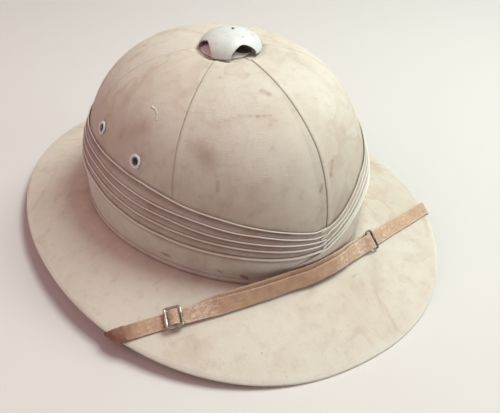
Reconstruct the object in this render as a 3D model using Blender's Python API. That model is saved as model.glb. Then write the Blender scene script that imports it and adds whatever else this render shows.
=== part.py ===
"""Pith helmet: a sun hat of pressed pith covered in cotton, with a pleated cloth band round its crown,
an enamelled vent cap, four eyelets and a leather chin strap laid over the front of its brim.

Metres, +Z up. The front of the hat faces -Y and the wearer's left is +X. The origin is on the surface
that the hat rests on, under the middle of its bounding box. Angles round the hat run from the front
towards +X. The brim meets the surface along a short flat land at the front and another at the back."""

from math import atan2, cos, pi, radians, sin, sqrt

import bmesh
import bpy
import numpy as np
from mathutils import Matrix, Vector

MM = 0.001
GAP = 0.3 * MM  # air left between pieces that touch on the real hat

# Brim
BRIM_LENGTH = 340 * MM
BRIM_WIDTH = 265.6 * MM
BRIM_FRONT_REACH = 160.7 * MM  # from the widest place to the front edge
BRIM_FRONT_FULLNESS = 2.19  # exponent of the outline's superellipse: 2 is an ellipse
BRIM_BACK_FULLNESS = 1.94
BRIM_THICKNESS = 2.4 * MM
BRIM_SIDE_LIFT = 11.2 * MM  # how far the edge rises at the sides
BRIM_LIFT_POWER = 1.4
BRIM_CAMBER = 1.5 * MM  # how far the brim bows up between the crown and its edge
REST_HALF_ANGLE = radians(12)  # the edge lies flat this far to each side of the front and of the back
REST_LAND = 3 * MM  # width of the flat under the edge

# Where crown and brim meet: heights of the brim's upper side at the crown, less the brim's thickness
ROOT_HEIGHT = 15.8 * MM
ROOT_SIDE_LIFT = 8 * MM
ROOT_FRONT_TILT = 5.6 * MM
ROOT_BACK_TILT = 2 * MM

# Crown, as it measures over the foot of the band
CROWN_LENGTH = 217.6 * MM
CROWN_WIDTH = 180.6 * MM
CROWN_TOP = 130.3 * MM
CROWN_MIDDLE_Y = -8.3 * MM
CROWN_LEAN = -3.9 * MM  # how far the top sits towards the front
CROWN_FRONT_FULLNESS = 1.87
CROWN_BACK_FULLNESS = 2.03
CROWN_DOME_FULLNESS = 2.63
CROWN_THICKNESS = 3 * MM
CROWN_TUCK = 3 * MM  # the wall steps in this much behind the foot of the band
CROWN_TUCK_REACH = 0.42  # as a share of the crown's height

# Pleated band: heights of the five pleat edges over the brim, round the hat
BAND_PLEATS = (
    # angle, and each edge's height from the top one down, in mm
    (-180, 52.0, 46.5, 41.5, 36.0, 30.0),
    (-135, 53.5, 47.5, 43.0, 37.2, 30.2),
    (-90, 52.8, 46.5, 42.3, 36.5, 29.5),
    (-66, 50.8, 42.6, 37.4, 31.2, 23.6),
    (-50, 46.7, 40.6, 35.4, 30.2, 22.7),
    (-25, 41.2, 36.8, 31.7, 27.5, 21.4),
    (-10, 36.9, 32.7, 29.1, 25.5, 20.4),
    (0, 34.2, 30.2, 27.3, 24.4, 20.7),
    (10, 37.2, 33.8, 30.4, 26.8, 24.4),
    (20, 43.4, 40.2, 36.8, 32.6, 30.4),
    (30, 49.0, 45.6, 42.2, 37.8, 34.0),
    (60, 53.0, 48.5, 44.5, 39.0, 33.0),
    (91, 54.0, 48.2, 43.5, 37.5, 31.0),
    (135, 53.5, 47.5, 43.0, 37.2, 30.2),
    (180, 52.0, 46.5, 41.5, 36.0, 30.0),
)
PLEAT_STAND = tuple(v * MM for v in (1.5, 2.0, 2.5, 3.0, 3.5))  # how far each pleat stands off the crown
PLEAT_RECESS = tuple(v * MM for v in (0.8, 1.2, 1.6, 2.0))  # how far the cloth falls back under each
BAND_FOOT_STAND = 2.7 * MM
BAND_HEM_HEIGHT = 3 * MM
BAND_HEM_STAND = 3.2 * MM
BAND_INNER_STEPS = 5

# Vent cap on top of the crown
VENT_Y = -13 * MM
VENT_CAP_RADIUS = 19.8 * MM
VENT_CAP_HEIGHT = 11 * MM
VENT_CAP_WALL = 1 * MM
VENT_ARCHES = 4
VENT_ARCH_TURN = radians(-8)  # the first arch faces this way
VENT_ARCH_HALF_ANGLE = radians(29)
VENT_ARCH_HEIGHT = 6.8 * MM
VENT_ARCH_FULLNESS = 1.9
VENT_BASE_RADIUS = 20.6 * MM
VENT_BASE_THICKNESS = 0.8 * MM
VENT_BORE_RADIUS = 5.5 * MM
VENT_TUBE_RADIUS = 6.5 * MM
VENT_RIVET_RADIUS = 1.3 * MM

# Eyelets, two on each side
EYELETS = (("front", 71.1, 83.9), ("rear", 96.3, 86.0))  # name, angle from the front, height in mm
EYELET_RADIUS = 4.3 * MM
EYELET_BORE_RADIUS = 2.3 * MM
EYELET_BARREL_RADIUS = 2.9 * MM
EYELET_ROLL = 0.9 * MM

# Chin strap
STRAP_WIDTH = 9.5 * MM
STRAP_THICKNESS = 1.4 * MM
STRAP_LAYER = STRAP_THICKNESS + 0.4 * MM  # from one layer to the next
STRAP_OFFSET = 3 * MM  # how far the lower layer shows above the upper one
STRAP_AIR = 0.5 * MM  # least air under the strap
STRAP_LINE = (
    # x and y in mm of the strap's outer edge, its lean off the brim in degrees, its lift off the brim in mm
    (-112, -97.6, 0, 0.6),
    (-102, -100.3, 0, 0.6),
    (-94, -102.4, 0, 1.0),
    (-87, -104.3, 0, 2.2),
    (-80, -106.2, 2, 2.6),
    (-73, -108.4, 8, 2.4),
    (-66, -110.8, 27, 1.8),
    (-59, -112.9, 44, 1.0),
    (-43, -116.9, 52, 0.6),
    (-27, -120.0, 54, 0.6),
    (-10, -122.1, 56, 0.6),
    (5, -122.4, 57, 0.6),
    (20, -120.9, 53, 0.6),
    (34, -118.2, 46, 0.7),
    (46, -115.2, 38, 1.4),
    (56, -112.9, 26, 1.0),
    (66, -110.8, 16, 0.7),
    (77, -108.0, 8, 0.6),
    (93, -103.0, 1, 0.6),
    (106, -98.8, 0, 0.6),
)
STRAP_SAMPLES = 480
STRAP_STEP = 4.4 * MM  # between cross-sections where the strap runs plain
STRAP_FINE_STEP = 1.1 * MM  # and near the buckle
STRAP_TWIST_STEP = 2.2 * MM
STRAP_TWIST = 42 * MM  # past the buckle, where the strap turns up against the band
STRAP_WRAP_STEPS = 6
STRAP_RUN_STEPS = 3  # cross-sections from the end of the line above to the brim's edge
STRAP_UNDER_STEPS = 7
STRAP_EDGE_SHARE = 0.985  # the strap turns down over the edge from here
STRAP_EDGE_RADIUS = BRIM_THICKNESS / 2 + 1.1 * MM
STRAP_EDGE_TURN = radians(174)
STRAP_UNDER_GAP = 1.4 * MM
STRAP_CORNER_RADIUS = 1 * MM
STRAP_WALL_GAP = 3.4 * MM
STRAP_WALL_TURN = radians(80)
STRAP_END_THICKNESS = 0.7 * MM  # the leather is pared thin where it folds round a bar
ANCHOR_REACH = 20 * MM  # how far the strap runs on along the inside of the crown
ANCHOR_FROM_END = 5 * MM
ANCHOR_HEAD_RADIUS = 3.2 * MM
ANCHOR_HEAD = 1 * MM
ANCHOR_SHANK_RADIUS = 1.4 * MM
ANCHOR_SHANK = 5 * MM

# Sliding buckle and keeper on the strap, in their own plane: length along the strap, width across it
BUCKLE_X = -87 * MM
BUCKLE_LENGTH = 11.4 * MM
BUCKLE_WIDTH = 13.4 * MM
BUCKLE_WIRE = 0.75 * MM
BUCKLE_HEIGHT = STRAP_THICKNESS + BUCKLE_WIRE + 2 * GAP  # of its plane over the strap's lower face
BUCKLE_BAR = 0.5 * MM  # half height of the hidden middle bar
BUCKLE_BAR_DROP = 2.1 * MM  # how far the bar lies under the buckle's plane
BUCKLE_HUMP = 2.5 * MM  # how far the strap rises over the bar and the other strap's end
BUCKLE_HUMP_FLAT = 2.2 * MM
BUCKLE_HUMP_REACH = 4.1 * MM
KEEPER_X = 48.5 * MM
KEEPER_LENGTH = 5.8 * MM
KEEPER_WIDTH = 13.2 * MM
KEEPER_WIRE = 0.65 * MM

# Mesh fineness
AROUND = 60


def material(name, colour, roughness, metallic=0.0):
    made = bpy.data.materials.new(name)
    made.use_nodes = True
    shader = made.node_tree.nodes["Principled BSDF"]
    shader.inputs["Base Color"].default_value = (*colour, 1)
    shader.inputs["Roughness"].default_value = roughness
    shader.inputs["Metallic"].default_value = metallic
    made.diffuse_color = (*colour, 1)
    return made


def add_object(name, points, faces, finish, smooth_angle=35):
    mesh = bpy.data.meshes.new(name)
    mesh.from_pydata([tuple(p) for p in points], [], faces)
    shell = bmesh.new()
    shell.from_mesh(mesh)
    bmesh.ops.recalc_face_normals(shell, faces=shell.faces)
    shell.to_mesh(mesh)
    shell.free()
    mesh.shade_smooth()
    mesh.set_sharp_from_angle(angle=radians(smooth_angle))
    mesh.materials.append(finish)
    made = bpy.data.objects.new(name, mesh)
    bpy.context.scene.collection.objects.link(made)
    return made


def add_ring(name, section, angles, finish):
    """A closed solid round the Z axis: section(angle) gives its closed outline at that angle."""
    rows = [section(angle) for angle in angles]
    size = len(rows[0])
    count = len(rows)
    faces = []
    for row in range(count):
        after = (row + 1) % count
        for i in range(size):
            j = (i + 1) % size
            faces.append((row * size + i, row * size + j, after * size + j, after * size + i))
    return add_object(name, [p for row in rows for p in row], faces, finish)


def add_turned(name, outline, sides, finish):
    """A solid of revolution about its own Z axis, from a closed outline of (radius, height)."""

    def section(angle):
        return [(r * sin(angle), -r * cos(angle), z) for r, z in outline]

    return add_ring(name, section, full_turn(sides), finish)


def full_turn(count):
    return [2 * pi * i / count - pi for i in range(count)]


def cut(target, cutters):
    for cutter in cutters:
        cutter.hide_render = True
        cutter.display_type = "WIRE"
        boolean = target.modifiers.new(cutter.name, "BOOLEAN")
        boolean.operation = "DIFFERENCE"
        boolean.object = cutter


def join(target, other):
    other.hide_render = True
    other.display_type = "WIRE"
    boolean = target.modifiers.new(other.name, "BOOLEAN")
    boolean.operation = "UNION"
    boolean.object = other


def add_pin_cutter(name, place, radius, length, sides=12):
    outline_top = length / 2
    points = []
    for z in (-outline_top, outline_top):
        points += [(radius * sin(a), -radius * cos(a), z) for a in full_turn(sides)]
    faces = [(i, (i + 1) % sides, sides + (i + 1) % sides, sides + i) for i in range(sides)]
    faces += [tuple(range(sides)), tuple(range(sides, 2 * sides))]
    cutter = add_object(name, points, faces, cutter_finish)
    cutter.matrix_world = place
    return cutter


def signed_power(value, exponent):
    return abs(value) ** exponent * (1 if value >= 0 else -1)


def oval(angle, half_width, front, back, front_fullness, back_fullness, middle_y):
    s, c = sin(angle), cos(angle)
    exponent = 2 / (front_fullness if c > 0 else back_fullness)
    x = half_width * signed_power(s, exponent)
    y = middle_y - (front if c > 0 else back) * signed_power(c, exponent)
    return Vector((x, y))


def placed(plan, z):
    return Vector((plan.x, plan.y, z))


# Brim and the line where the crown stands on it


def root_height(angle):
    """Height of the brim's upper side at the foot of the crown."""
    tilt = ROOT_FRONT_TILT if cos(angle) > 0 else ROOT_BACK_TILT
    return BRIM_THICKNESS + ROOT_HEIGHT + ROOT_SIDE_LIFT * sin(angle) ** 2 + tilt * cos(angle)


def crown_oval(angle, offset, rise=0.0):
    """Plan of the crown's wall: rise is 0 at its foot and 1 at its top, offset grows it all round."""
    spread = (1 - rise**CROWN_DOME_FULLNESS) ** (1 / CROWN_DOME_FULLNESS)
    tuck = CROWN_TUCK * smooth(1 - rise / CROWN_TUCK_REACH)
    half_width = (CROWN_WIDTH / 2 + offset) * spread - tuck
    half_length = (CROWN_LENGTH / 2 + offset) * spread - tuck
    middle_y = CROWN_MIDDLE_Y + CROWN_LEAN * rise
    return oval(
        angle, half_width, half_length, half_length, CROWN_FRONT_FULLNESS, CROWN_BACK_FULLNESS, middle_y
    )


def smooth(t):
    t = min(max(t, 0.0), 1.0)
    return t * t * (3 - 2 * t)


def brim_edge(angle):
    widest_y = BRIM_FRONT_REACH - BRIM_LENGTH / 2
    back_reach = BRIM_LENGTH - BRIM_FRONT_REACH
    return oval(
        angle, BRIM_WIDTH / 2, BRIM_FRONT_REACH, back_reach, BRIM_FRONT_FULLNESS, BRIM_BACK_FULLNESS, widest_y
    )


def edge_lift(angle):
    """Height of the underside of the brim's edge."""
    flat = sin(REST_HALF_ANGLE)
    beyond = max(0.0, abs(sin(angle)) - flat) / (1 - flat)
    return BRIM_SIDE_LIFT * beyond**BRIM_LIFT_POWER


def brim_top(angle, across):
    """A point of the brim's upper side, from the crown (across 0) to the edge (across 1)."""
    root = crown_oval(angle, 0)
    plan = root + (brim_edge(angle) - root) * across
    high, low = root_height(angle), BRIM_THICKNESS + edge_lift(angle)
    return placed(plan, high + (low - high) * across + BRIM_CAMBER * 4 * across * (1 - across))


def brim_section(angle):
    inner = crown_oval(angle, -CROWN_THICKNESS)
    top = [placed(inner, root_height(angle))]
    top += [brim_top(angle, a) for a in (0, 0.22, 0.45, 0.68, 0.88, 0.985)]
    edge = brim_top(angle, 1)
    land = brim_top(angle, 1 - REST_LAND / (edge - brim_top(angle, 0)).length)
    down = Vector((0, 0, BRIM_THICKNESS))
    rim = [edge - down * 0.3, edge - down * 0.85]
    inset = edge.lerp(land, 0.12)
    rim += [placed(inset.xy, edge_lift(angle)), placed(land.xy, edge_lift(angle))]
    under = [brim_top(angle, a) - down for a in (0.8, 0.5, 0.2)]
    return top + rim + under + [placed(inner, root_height(angle)) - down]


# Crown


def crown_wall(angle, spread, offset):
    """A point of the dome where its plan has shrunk to this share of its foot."""
    rise = (1 - spread**CROWN_DOME_FULLNESS) ** (1 / CROWN_DOME_FULLNESS)
    foot = root_height(angle) + GAP
    return placed(crown_oval(angle, offset, rise), foot + (CROWN_TOP + offset - foot) * rise)


def crown_section(angle):
    steps = 12
    hole = (VENT_TUBE_RADIUS + 3.5 * GAP) / (CROWN_WIDTH / 2)
    last = pi / 2 - hole ** (CROWN_DOME_FULLNESS / 2)
    outer = [cos(last * i / steps) ** (2 / CROWN_DOME_FULLNESS) for i in range(steps + 1)]
    wall = [crown_wall(angle, spread, 0) for spread in outer]
    return wall + [crown_wall(angle, spread, -CROWN_THICKNESS) for spread in reversed(outer)]


def crown_height_place(angle, height, offset=0.0):
    """A point of the dome at a height, its outward normal and the way up its wall."""
    foot = root_height(angle) + GAP

    def at(turn, z):
        rise = (z - foot) / (CROWN_TOP - foot)
        return placed(crown_oval(turn, offset, rise), z)

    step = 0.5 * MM
    point = at(angle, height)
    up = (at(angle, height + step) - at(angle, height - step)).normalized()
    along = (at(angle + 0.01, height) - at(angle - 0.01, height)).normalized()
    return point, along.cross(up).normalized(), up


def crown_frame(angle, height, offset=0.0):
    """Placement on the dome: local Z is outward and local Y is up the wall."""
    point, normal, up = crown_height_place(angle, height, offset)
    side = up.cross(normal).normalized()
    turned = Matrix((side, normal.cross(side), normal)).transposed().to_4x4()
    return Matrix.Translation(point) @ turned


# Band


def pleat_heights(angle):
    degrees = np.degrees(angle)
    table = np.array(BAND_PLEATS)
    return [np.interp(degrees, table[:, 0], column) * MM for column in table[:, 1:].T]


def band_section(angle):
    foot = root_height(angle)
    reach = CROWN_TOP - foot

    def at(height, stand):
        return placed(crown_oval(angle, stand, height / reach), foot + height)

    edges = pleat_heights(angle)
    outline = [at(edges[0], PLEAT_STAND[0])]
    for recess, edge, stand in zip(PLEAT_RECESS, edges[1:], PLEAT_STAND[1:]):
        outline += [at(edge, recess), at(edge, stand)]
    outline.append(at(BAND_HEM_HEIGHT * 1.3, BAND_FOOT_STAND))
    outline.append(at(BAND_HEM_HEIGHT, BAND_HEM_STAND))
    low = GAP * 1.5
    outline.append(at(low, BAND_HEM_STAND))
    for i in range(BAND_INNER_STEPS + 1):
        outline.append(at(low + (edges[0] - low) * i / BAND_INNER_STEPS, 1.8 * GAP))
    return outline


# Vent


def vent_cap_mesh(arch_steps=8, foot_steps=2, rings=5):
    """The cap's dome, cut away from below by arches: inner and outer skins joined round its edge."""
    ball = (VENT_CAP_RADIUS**2 + VENT_CAP_HEIGHT**2) / (2 * VENT_CAP_HEIGHT)
    pitch = 2 * pi / VENT_ARCHES
    columns = []
    for arch in range(VENT_ARCHES):
        middle = VENT_ARCH_TURN + arch * pitch
        for i in range(arch_steps):
            share = sin(pi / 2 * (2 * i / arch_steps - 1))
            rise = (1 - abs(share) ** VENT_ARCH_FULLNESS) ** (1 / VENT_ARCH_FULLNESS)
            columns.append((middle + share * VENT_ARCH_HALF_ANGLE, rise * VENT_ARCH_HEIGHT))
        foot = pitch - 2 * VENT_ARCH_HALF_ANGLE
        for i in range(foot_steps):
            columns.append((middle + VENT_ARCH_HALF_ANGLE + foot * i / foot_steps, 0.0))

    hole = (VENT_RIVET_RADIUS * 0.6 + GAP) / ball
    points = []
    for inset in (0.0, VENT_CAP_WALL):
        radius = ball - inset
        for angle, cutaway in columns:
            widest = np.arccos((ball - VENT_CAP_HEIGHT + cutaway) / radius)
            for ring in range(rings + 1):
                polar = hole + (widest - hole) * ring / rings
                flat = radius * sin(polar)
                z = radius * cos(polar) - (ball - VENT_CAP_HEIGHT)
                points.append((flat * sin(angle), -flat * cos(angle), z))
    count, size = len(columns), rings + 1
    skin = count * size
    faces = []
    for a in range(count):
        b = (a + 1) % count
        for ring in range(rings):
            for start in (0, skin):
                i, j = start + a * size + ring, start + b * size + ring
                faces.append((i, j, j + 1, i + 1) if start else (i, i + 1, j + 1, j))
        for ring in (0, rings):
            i, j = a * size + ring, b * size + ring
            faces.append((i, j, skin + j, skin + i))
    return points, faces


# Chin strap


def spline(rows, samples):
    """Points along a smooth curve through rows of numbers."""
    table = np.array(rows, float)
    padded = np.vstack([2 * table[0] - table[1], table, 2 * table[-1] - table[-2]])
    out = []
    for value in np.linspace(0, len(table) - 1, samples):
        i = min(int(value), len(table) - 2)
        t = value - i
        a, b, c, d = padded[i : i + 4]
        bend = 2 * a - 5 * b + 4 * c - d
        out.append(b + 0.5 * t * (c - a + t * (bend + t * (3 * (b - c) + d - a))))
    return out


SURVEY_ANGLES = np.linspace(-pi, pi, 1441)
SURVEY_ROOT = np.array([crown_oval(a, 0)[:] for a in SURVEY_ANGLES])
SURVEY_SPAN = np.array([brim_edge(a)[:] for a in SURVEY_ANGLES]) - SURVEY_ROOT


def brim_place(x, y):
    """Angle and share across the brim of a plan point."""
    away = np.array((x, y)) - SURVEY_ROOT
    across = (away * SURVEY_SPAN).sum(1) / (SURVEY_SPAN**2).sum(1)
    miss = np.linalg.norm(away - across[:, None] * SURVEY_SPAN, axis=1)
    miss[across < -0.5] = np.inf  # the far side of the hat
    best = int(np.argmin(miss))
    return float(SURVEY_ANGLES[best]), float(across[best])


def brim_height(x, y):
    return brim_top(*brim_place(x, y)).z


class Station:
    """A cross-section of the strap: the middle of its lower face, its three directions, its thickness."""

    def __init__(self, point, ahead, sideways, normal, thickness=STRAP_THICKNESS):
        self.point, self.ahead, self.sideways, self.normal = point, ahead, sideways, normal
        self.thickness = thickness

    def moved(self, sideways=0.0, normal=0.0, ahead=0.0):
        shift = self.sideways * sideways + self.normal * normal + self.ahead * ahead
        return Station(self.point + shift, self.ahead, self.sideways, self.normal, self.thickness)

    def pared(self, thickness):
        return Station(self.point, self.ahead, self.sideways, self.normal, thickness)

    def spun(self, spin, point):
        return Station(point, spin @ self.ahead, spin @ self.sideways, spin @ self.normal, self.thickness)

    def squared(self):
        """Cut square to its way ahead."""
        sideways = self.normal.cross(self.ahead).normalized()
        return Station(self.point, self.ahead, sideways, self.normal, self.thickness)

    def laid(self, point, normal, way, share):
        """The next cross-section, at a point of a surface, cut part or all of the way along a rim."""
        ahead = (point - self.point).normalized()
        normal = (normal - ahead * normal.dot(ahead)).normalized()
        square = normal.cross(ahead)
        slant = (way - normal * way.dot(normal)).normalized()
        slant = slant * (1 if slant.dot(square) > 0 else -1)
        cut_way = square.lerp(slant, share)
        return Station(point, ahead, cut_way / cut_way.dot(square), normal, self.thickness)

    def matrix(self):
        turned = Matrix((self.ahead, self.sideways, self.normal)).transposed().to_4x4()
        return Matrix.Translation(self.point) @ turned


class StrapLine:
    """The strap's way over the brim, from the wearer's right (-X) to the left (+X)."""

    def __init__(self):
        edge = []
        for x, y, lean, lift in spline(STRAP_LINE, STRAP_SAMPLES):
            x, y = x * MM, y * MM
            edge.append((Vector((x, y, brim_height(x, y) + lift * MM)), radians(lean)))
        self.stations = []
        self.travel = []
        for i, (point, lean) in enumerate(edge):
            before, after = edge[max(i - 3, 0)][0], edge[min(i + 3, len(edge) - 1)][0]
            ahead = (after - before).normalized()
            flat = brim_normal(point).cross(ahead).normalized()
            sideways = flat * cos(lean) + ahead.cross(flat) * sin(lean)
            station = Station(point + sideways * (STRAP_WIDTH / 2), ahead, sideways, ahead.cross(sideways))
            station = self.settled(station)
            step = (station.point - self.stations[-1].point).length if self.stations else 0.0
            self.travel.append((self.travel[-1] if self.travel else 0.0) + step)
            self.stations.append(station)

    def settled(self, station):
        """The station moved clear of the brim and the band, with room for the layer under it."""
        layer, offset = lower_layer(station.point.x)
        under = station.moved(sideways=offset, normal=-layer)
        rise, push = 0.0, 0.0
        for share in (-0.5, -0.25, 0, 0.25, 0.5):
            place = under.point + under.sideways * (share * STRAP_WIDTH)
            angle, across = brim_place(place.x, place.y)
            root = crown_oval(angle, 0)
            span = brim_edge(angle) - root
            rise = max(rise, brim_top(angle, max(across, 0)).z + STRAP_AIR - place.z)
            height = max(place.z - root_height(angle), 0)
            stand = BAND_HEM_STAND if height < BAND_HEM_HEIGHT * 1.5 else BAND_FOOT_STAND + GAP
            band = crown_oval(angle, stand, height / (CROWN_TOP - root_height(angle))) - root
            push = max(push, band.length + STRAP_AIR - across * span.length)
        out = span.normalized() * push
        return Station(
            station.point + Vector((out.x, out.y, rise)), station.ahead, station.sideways, station.normal
        )

    def at(self, travel):
        return self.stations[int(np.argmin(np.abs(np.array(self.travel) - travel)))]

    def travel_at(self, x):
        return min(zip(self.travel, self.stations), key=lambda pair: abs(pair[1].point.x - x))[0]


def lower_layer(x):
    """How far the lower strap lies under the upper one, and how far it shows above it."""
    layer = smooth((x - BUCKLE_X + 6 * MM) / (8 * MM)) * (1 - smooth((x - KEEPER_X) / (12 * MM)))
    return STRAP_LAYER * layer, STRAP_OFFSET * layer * smooth((x - BUCKLE_X) / (14 * MM))


def wrapped(start, axis, radius, turn, steps):
    """Stations carried round an edge that runs along axis, through turn radians."""
    drift = start.ahead.dot(axis) / sqrt(1 - start.ahead.dot(axis) ** 2)
    middle = start.point - start.normal * radius
    out = []
    for step in range(1, steps + 1):
        angle = turn * step / steps
        spin = Matrix.Rotation(angle, 3, axis)
        point = middle + spin @ (start.normal * radius) + axis * drift * abs(radius * angle)
        out.append(start.spun(spin, point))
    return out


def brim_normal(point):
    """The upward normal of the brim over or under a point."""
    step = 2 * MM
    slope_x = (brim_height(point.x + step, point.y) - brim_height(point.x - step, point.y)) / (2 * step)
    slope_y = (brim_height(point.x, point.y + step) - brim_height(point.x, point.y - step)) / (2 * step)
    return Vector((-slope_x, -slope_y, 1)).normalized()


def along_rim(curve, angle):
    """Direction of a rim at an angle round the hat."""
    return (curve(angle + 0.02) - curve(angle - 0.02)).normalized()


def inside_crown(plan, depth):
    """Whether a plan point is this far inside the foot of the crown's outer wall."""
    inset = CROWN_TUCK + depth
    y = plan.y - CROWN_MIDDLE_Y
    fullness = CROWN_FRONT_FULLNESS if y < 0 else CROWN_BACK_FULLNESS
    across = abs(plan.x) / (CROWN_WIDTH / 2 - inset)
    return across**fullness + (abs(y) / (CROWN_LENGTH / 2 - inset)) ** fullness < 1


def strap_tail(start):
    """From a station that looks off the hat: over its edge, back under the brim and up inside the crown."""
    step = 0.5 * MM
    length = 0.0
    while brim_place(*(start.point + start.ahead * length).xy)[1] < STRAP_EDGE_SHARE:
        length += step
    rim_angle = brim_place(*(start.point + start.ahead * length).xy)[0]
    rim_way = along_rim(lambda a: brim_top(a, 1), rim_angle)
    run = []
    before = start
    for i in range(1, STRAP_RUN_STEPS + 1):
        share = i / STRAP_RUN_STEPS
        plan = start.point + start.ahead * (length * share)
        height = brim_height(plan.x, plan.y) + STRAP_AIR + 0.3 * MM
        before = before.laid(placed(plan.xy, height), brim_normal(plan), rim_way, share)
        run.append(before)
    axis = rim_way if rim_way.dot(run[-1].sideways) > 0 else -rim_way
    run += wrapped(run[-1], axis, STRAP_EDGE_RADIUS, STRAP_EDGE_TURN, STRAP_WRAP_STEPS)

    under = run[-1]
    heading = under.ahead.xy.normalized()
    length = 0.0
    while not inside_crown(under.point.xy + heading * length, CROWN_THICKNESS + STRAP_WALL_GAP):
        length += step
    wall_angle = brim_place(*(under.point.xy + heading * length))[0]
    wall_way = along_rim(lambda a: placed(crown_oval(a, 0), 0), wall_angle)
    wall_way = wall_way if wall_way.dot(rim_way) > 0 else -wall_way
    before = under
    for i in range(1, STRAP_UNDER_STEPS + 1):
        share = i / STRAP_UNDER_STEPS
        plan = under.point.xy + heading * (length * share)
        angle, across = brim_place(*plan)
        height = brim_top(angle, max(across, 0)).z - BRIM_THICKNESS - STRAP_UNDER_GAP
        way = rim_way.lerp(wall_way, share)
        before = before.laid(placed(plan, height), -brim_normal(placed(plan, 0)), way, 1.0)
        run.append(before)

    axis = wall_way if wall_way.dot(run[-1].sideways) > 0 else -wall_way
    run += wrapped(run[-1], axis, STRAP_CORNER_RADIUS, STRAP_WALL_TURN, 4)
    corner = run[-1].squared()
    run.append(corner.moved(ahead=ANCHOR_REACH * 0.55))
    run.append(corner.moved(ahead=ANCHOR_REACH))
    return run


def turned_back(run):
    """The same run of stations, the other way along."""
    return [Station(s.point, -s.ahead, -s.sideways, s.normal, s.thickness) for s in reversed(run)]


def folded_end(start, clearance, over, tail):
    """The end of a strap folded round a bar: over it and back below, or under it and back above."""
    begin = start.pared(STRAP_END_THICKNESS)
    radius = clearance if over else -(clearance + STRAP_END_THICKNESS)
    axis = start.sideways if over else -start.sideways
    run = [begin] + wrapped(begin, axis, radius, pi * 0.97, 5)
    return run + [run[-1].moved(ahead=tail)]


def add_ribbon(name, stations, finish):
    points = []
    for s in stations:
        for side, height in ((-1, 0), (1, 0), (1, 1), (-1, 1)):
            points.append(s.point + s.sideways * side * STRAP_WIDTH / 2 + s.normal * height * s.thickness)
    faces = []
    for row in range(len(stations) - 1):
        for i in range(4):
            j = (i + 1) % 4
            faces.append((row * 4 + i, row * 4 + j, row * 4 + 4 + j, row * 4 + 4 + i))
    last = 4 * (len(stations) - 1)
    faces += [(0, 1, 2, 3), (last, last + 1, last + 2, last + 3)]
    return add_object(name, points, faces, finish)


def add_loop(name, length, width, wire, corner, finish, sides=6, corner_steps=3):
    """A rounded rectangle of wire in its own XY plane: length along X, width along Y."""
    path = []
    for quarter in range(4):
        x = (1, -1, -1, 1)[quarter] * (length / 2 - wire - corner)
        y = (1, 1, -1, -1)[quarter] * (width / 2 - wire - corner)
        for i in range(corner_steps + 1):
            turn = pi / 2 * (quarter + i / corner_steps)
            path.append((Vector((x + corner * cos(turn), y + corner * sin(turn), 0)), turn))
    points = []
    for centre, turn in path:
        outward = Vector((cos(turn), sin(turn), 0))
        for side in range(sides):
            angle = 2 * pi * (side + 0.5) / sides
            points.append(centre + outward * wire * cos(angle) + Vector((0, 0, wire * sin(angle))))
    count = len(path)
    faces = []
    for row in range(count):
        after = (row + 1) % count
        for i in range(sides):
            j = (i + 1) % sides
            faces.append((row * sides + i, after * sides + i, after * sides + j, row * sides + j))
    return add_object(name, points, faces, finish)


def add_dropped_bar(name, half_width, drop, radius, finish, sides=6):
    """A bar along Y under its own origin, whose bent-up ends reach the rails of a buckle."""
    corners = [(-half_width, 0), (-half_width, -drop), (half_width, -drop), (half_width, 0)]
    outward = [(-1, 0), (-1, -1), (1, -1), (1, 0)]
    points = []
    for (y, z), (out_y, out_z) in zip(corners, outward):
        for side in range(sides):
            angle = 2 * pi * (side + 0.5) / sides
            reach = radius * cos(angle)
            points.append((radius * sin(angle), y + out_y * reach, z + out_z * reach))
    faces = []
    for row in range(3):
        for i in range(sides):
            j = (i + 1) % sides
            faces.append((row * sides + i, row * sides + j, row * sides + sides + j, row * sides + sides + i))
    faces += [tuple(range(sides)), tuple(range(3 * sides, 4 * sides))]
    return add_object(name, points, faces, finish)


def clear_scene():
    for thing in list(bpy.data.objects):
        bpy.data.objects.remove(thing)


def make_crown_and_brim(cotton):
    angles = full_turn(AROUND)
    crown = add_ring("crown", crown_section, angles, cotton)
    brim = add_ring("brim", brim_section, angles, cotton)
    return crown, brim


def make_vent(enamel, steel):
    seat = CROWN_TOP + GAP
    centre = Vector((0, VENT_Y, seat))
    r, t, bore = VENT_BASE_RADIUS, VENT_BASE_THICKNESS, VENT_BORE_RADIUS
    droop = 0.5 * MM
    inside = -CROWN_THICKNESS - 4.5 * GAP
    base = add_turned(
        "vent_base",
        [
            (bore, t),
            (r * 0.7, t),
            (r, t - droop),
            (r, -droop),
            (r * 0.7, 0),
            (VENT_TUBE_RADIUS, 0),
            (VENT_TUBE_RADIUS, inside),
            (VENT_TUBE_RADIUS + 2 * MM, inside),
            (VENT_TUBE_RADIUS + 2 * MM, inside - VENT_BASE_THICKNESS),
            (bore, inside - VENT_BASE_THICKNESS),
        ],
        20,
        enamel,
    )
    base.location = centre
    points, faces = vent_cap_mesh()
    cap = add_object("vent_cap", points, faces, enamel)
    cap.location = centre + Vector((0, 0, t + GAP - droop / 2))
    head, stem = VENT_RIVET_RADIUS, VENT_RIVET_RADIUS * 0.6
    wall = VENT_CAP_WALL
    rivet = add_turned(
        "vent_rivet",
        [
            (0.05 * MM, GAP + 0.5 * MM),
            (head * 0.6, GAP + 0.45 * MM),
            (head, GAP),
            (stem, GAP),
            (stem, -wall - 2 * GAP),
            (head * 1.6, -wall - 2 * GAP),
            (head * 1.6, -wall - 4 * GAP),
            (0.05 * MM, -wall - 4 * GAP),
        ],
        8,
        steel,
    )
    rivet.location = cap.location + Vector((0, 0, VENT_CAP_HEIGHT))
    return base, cap, rivet


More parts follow.
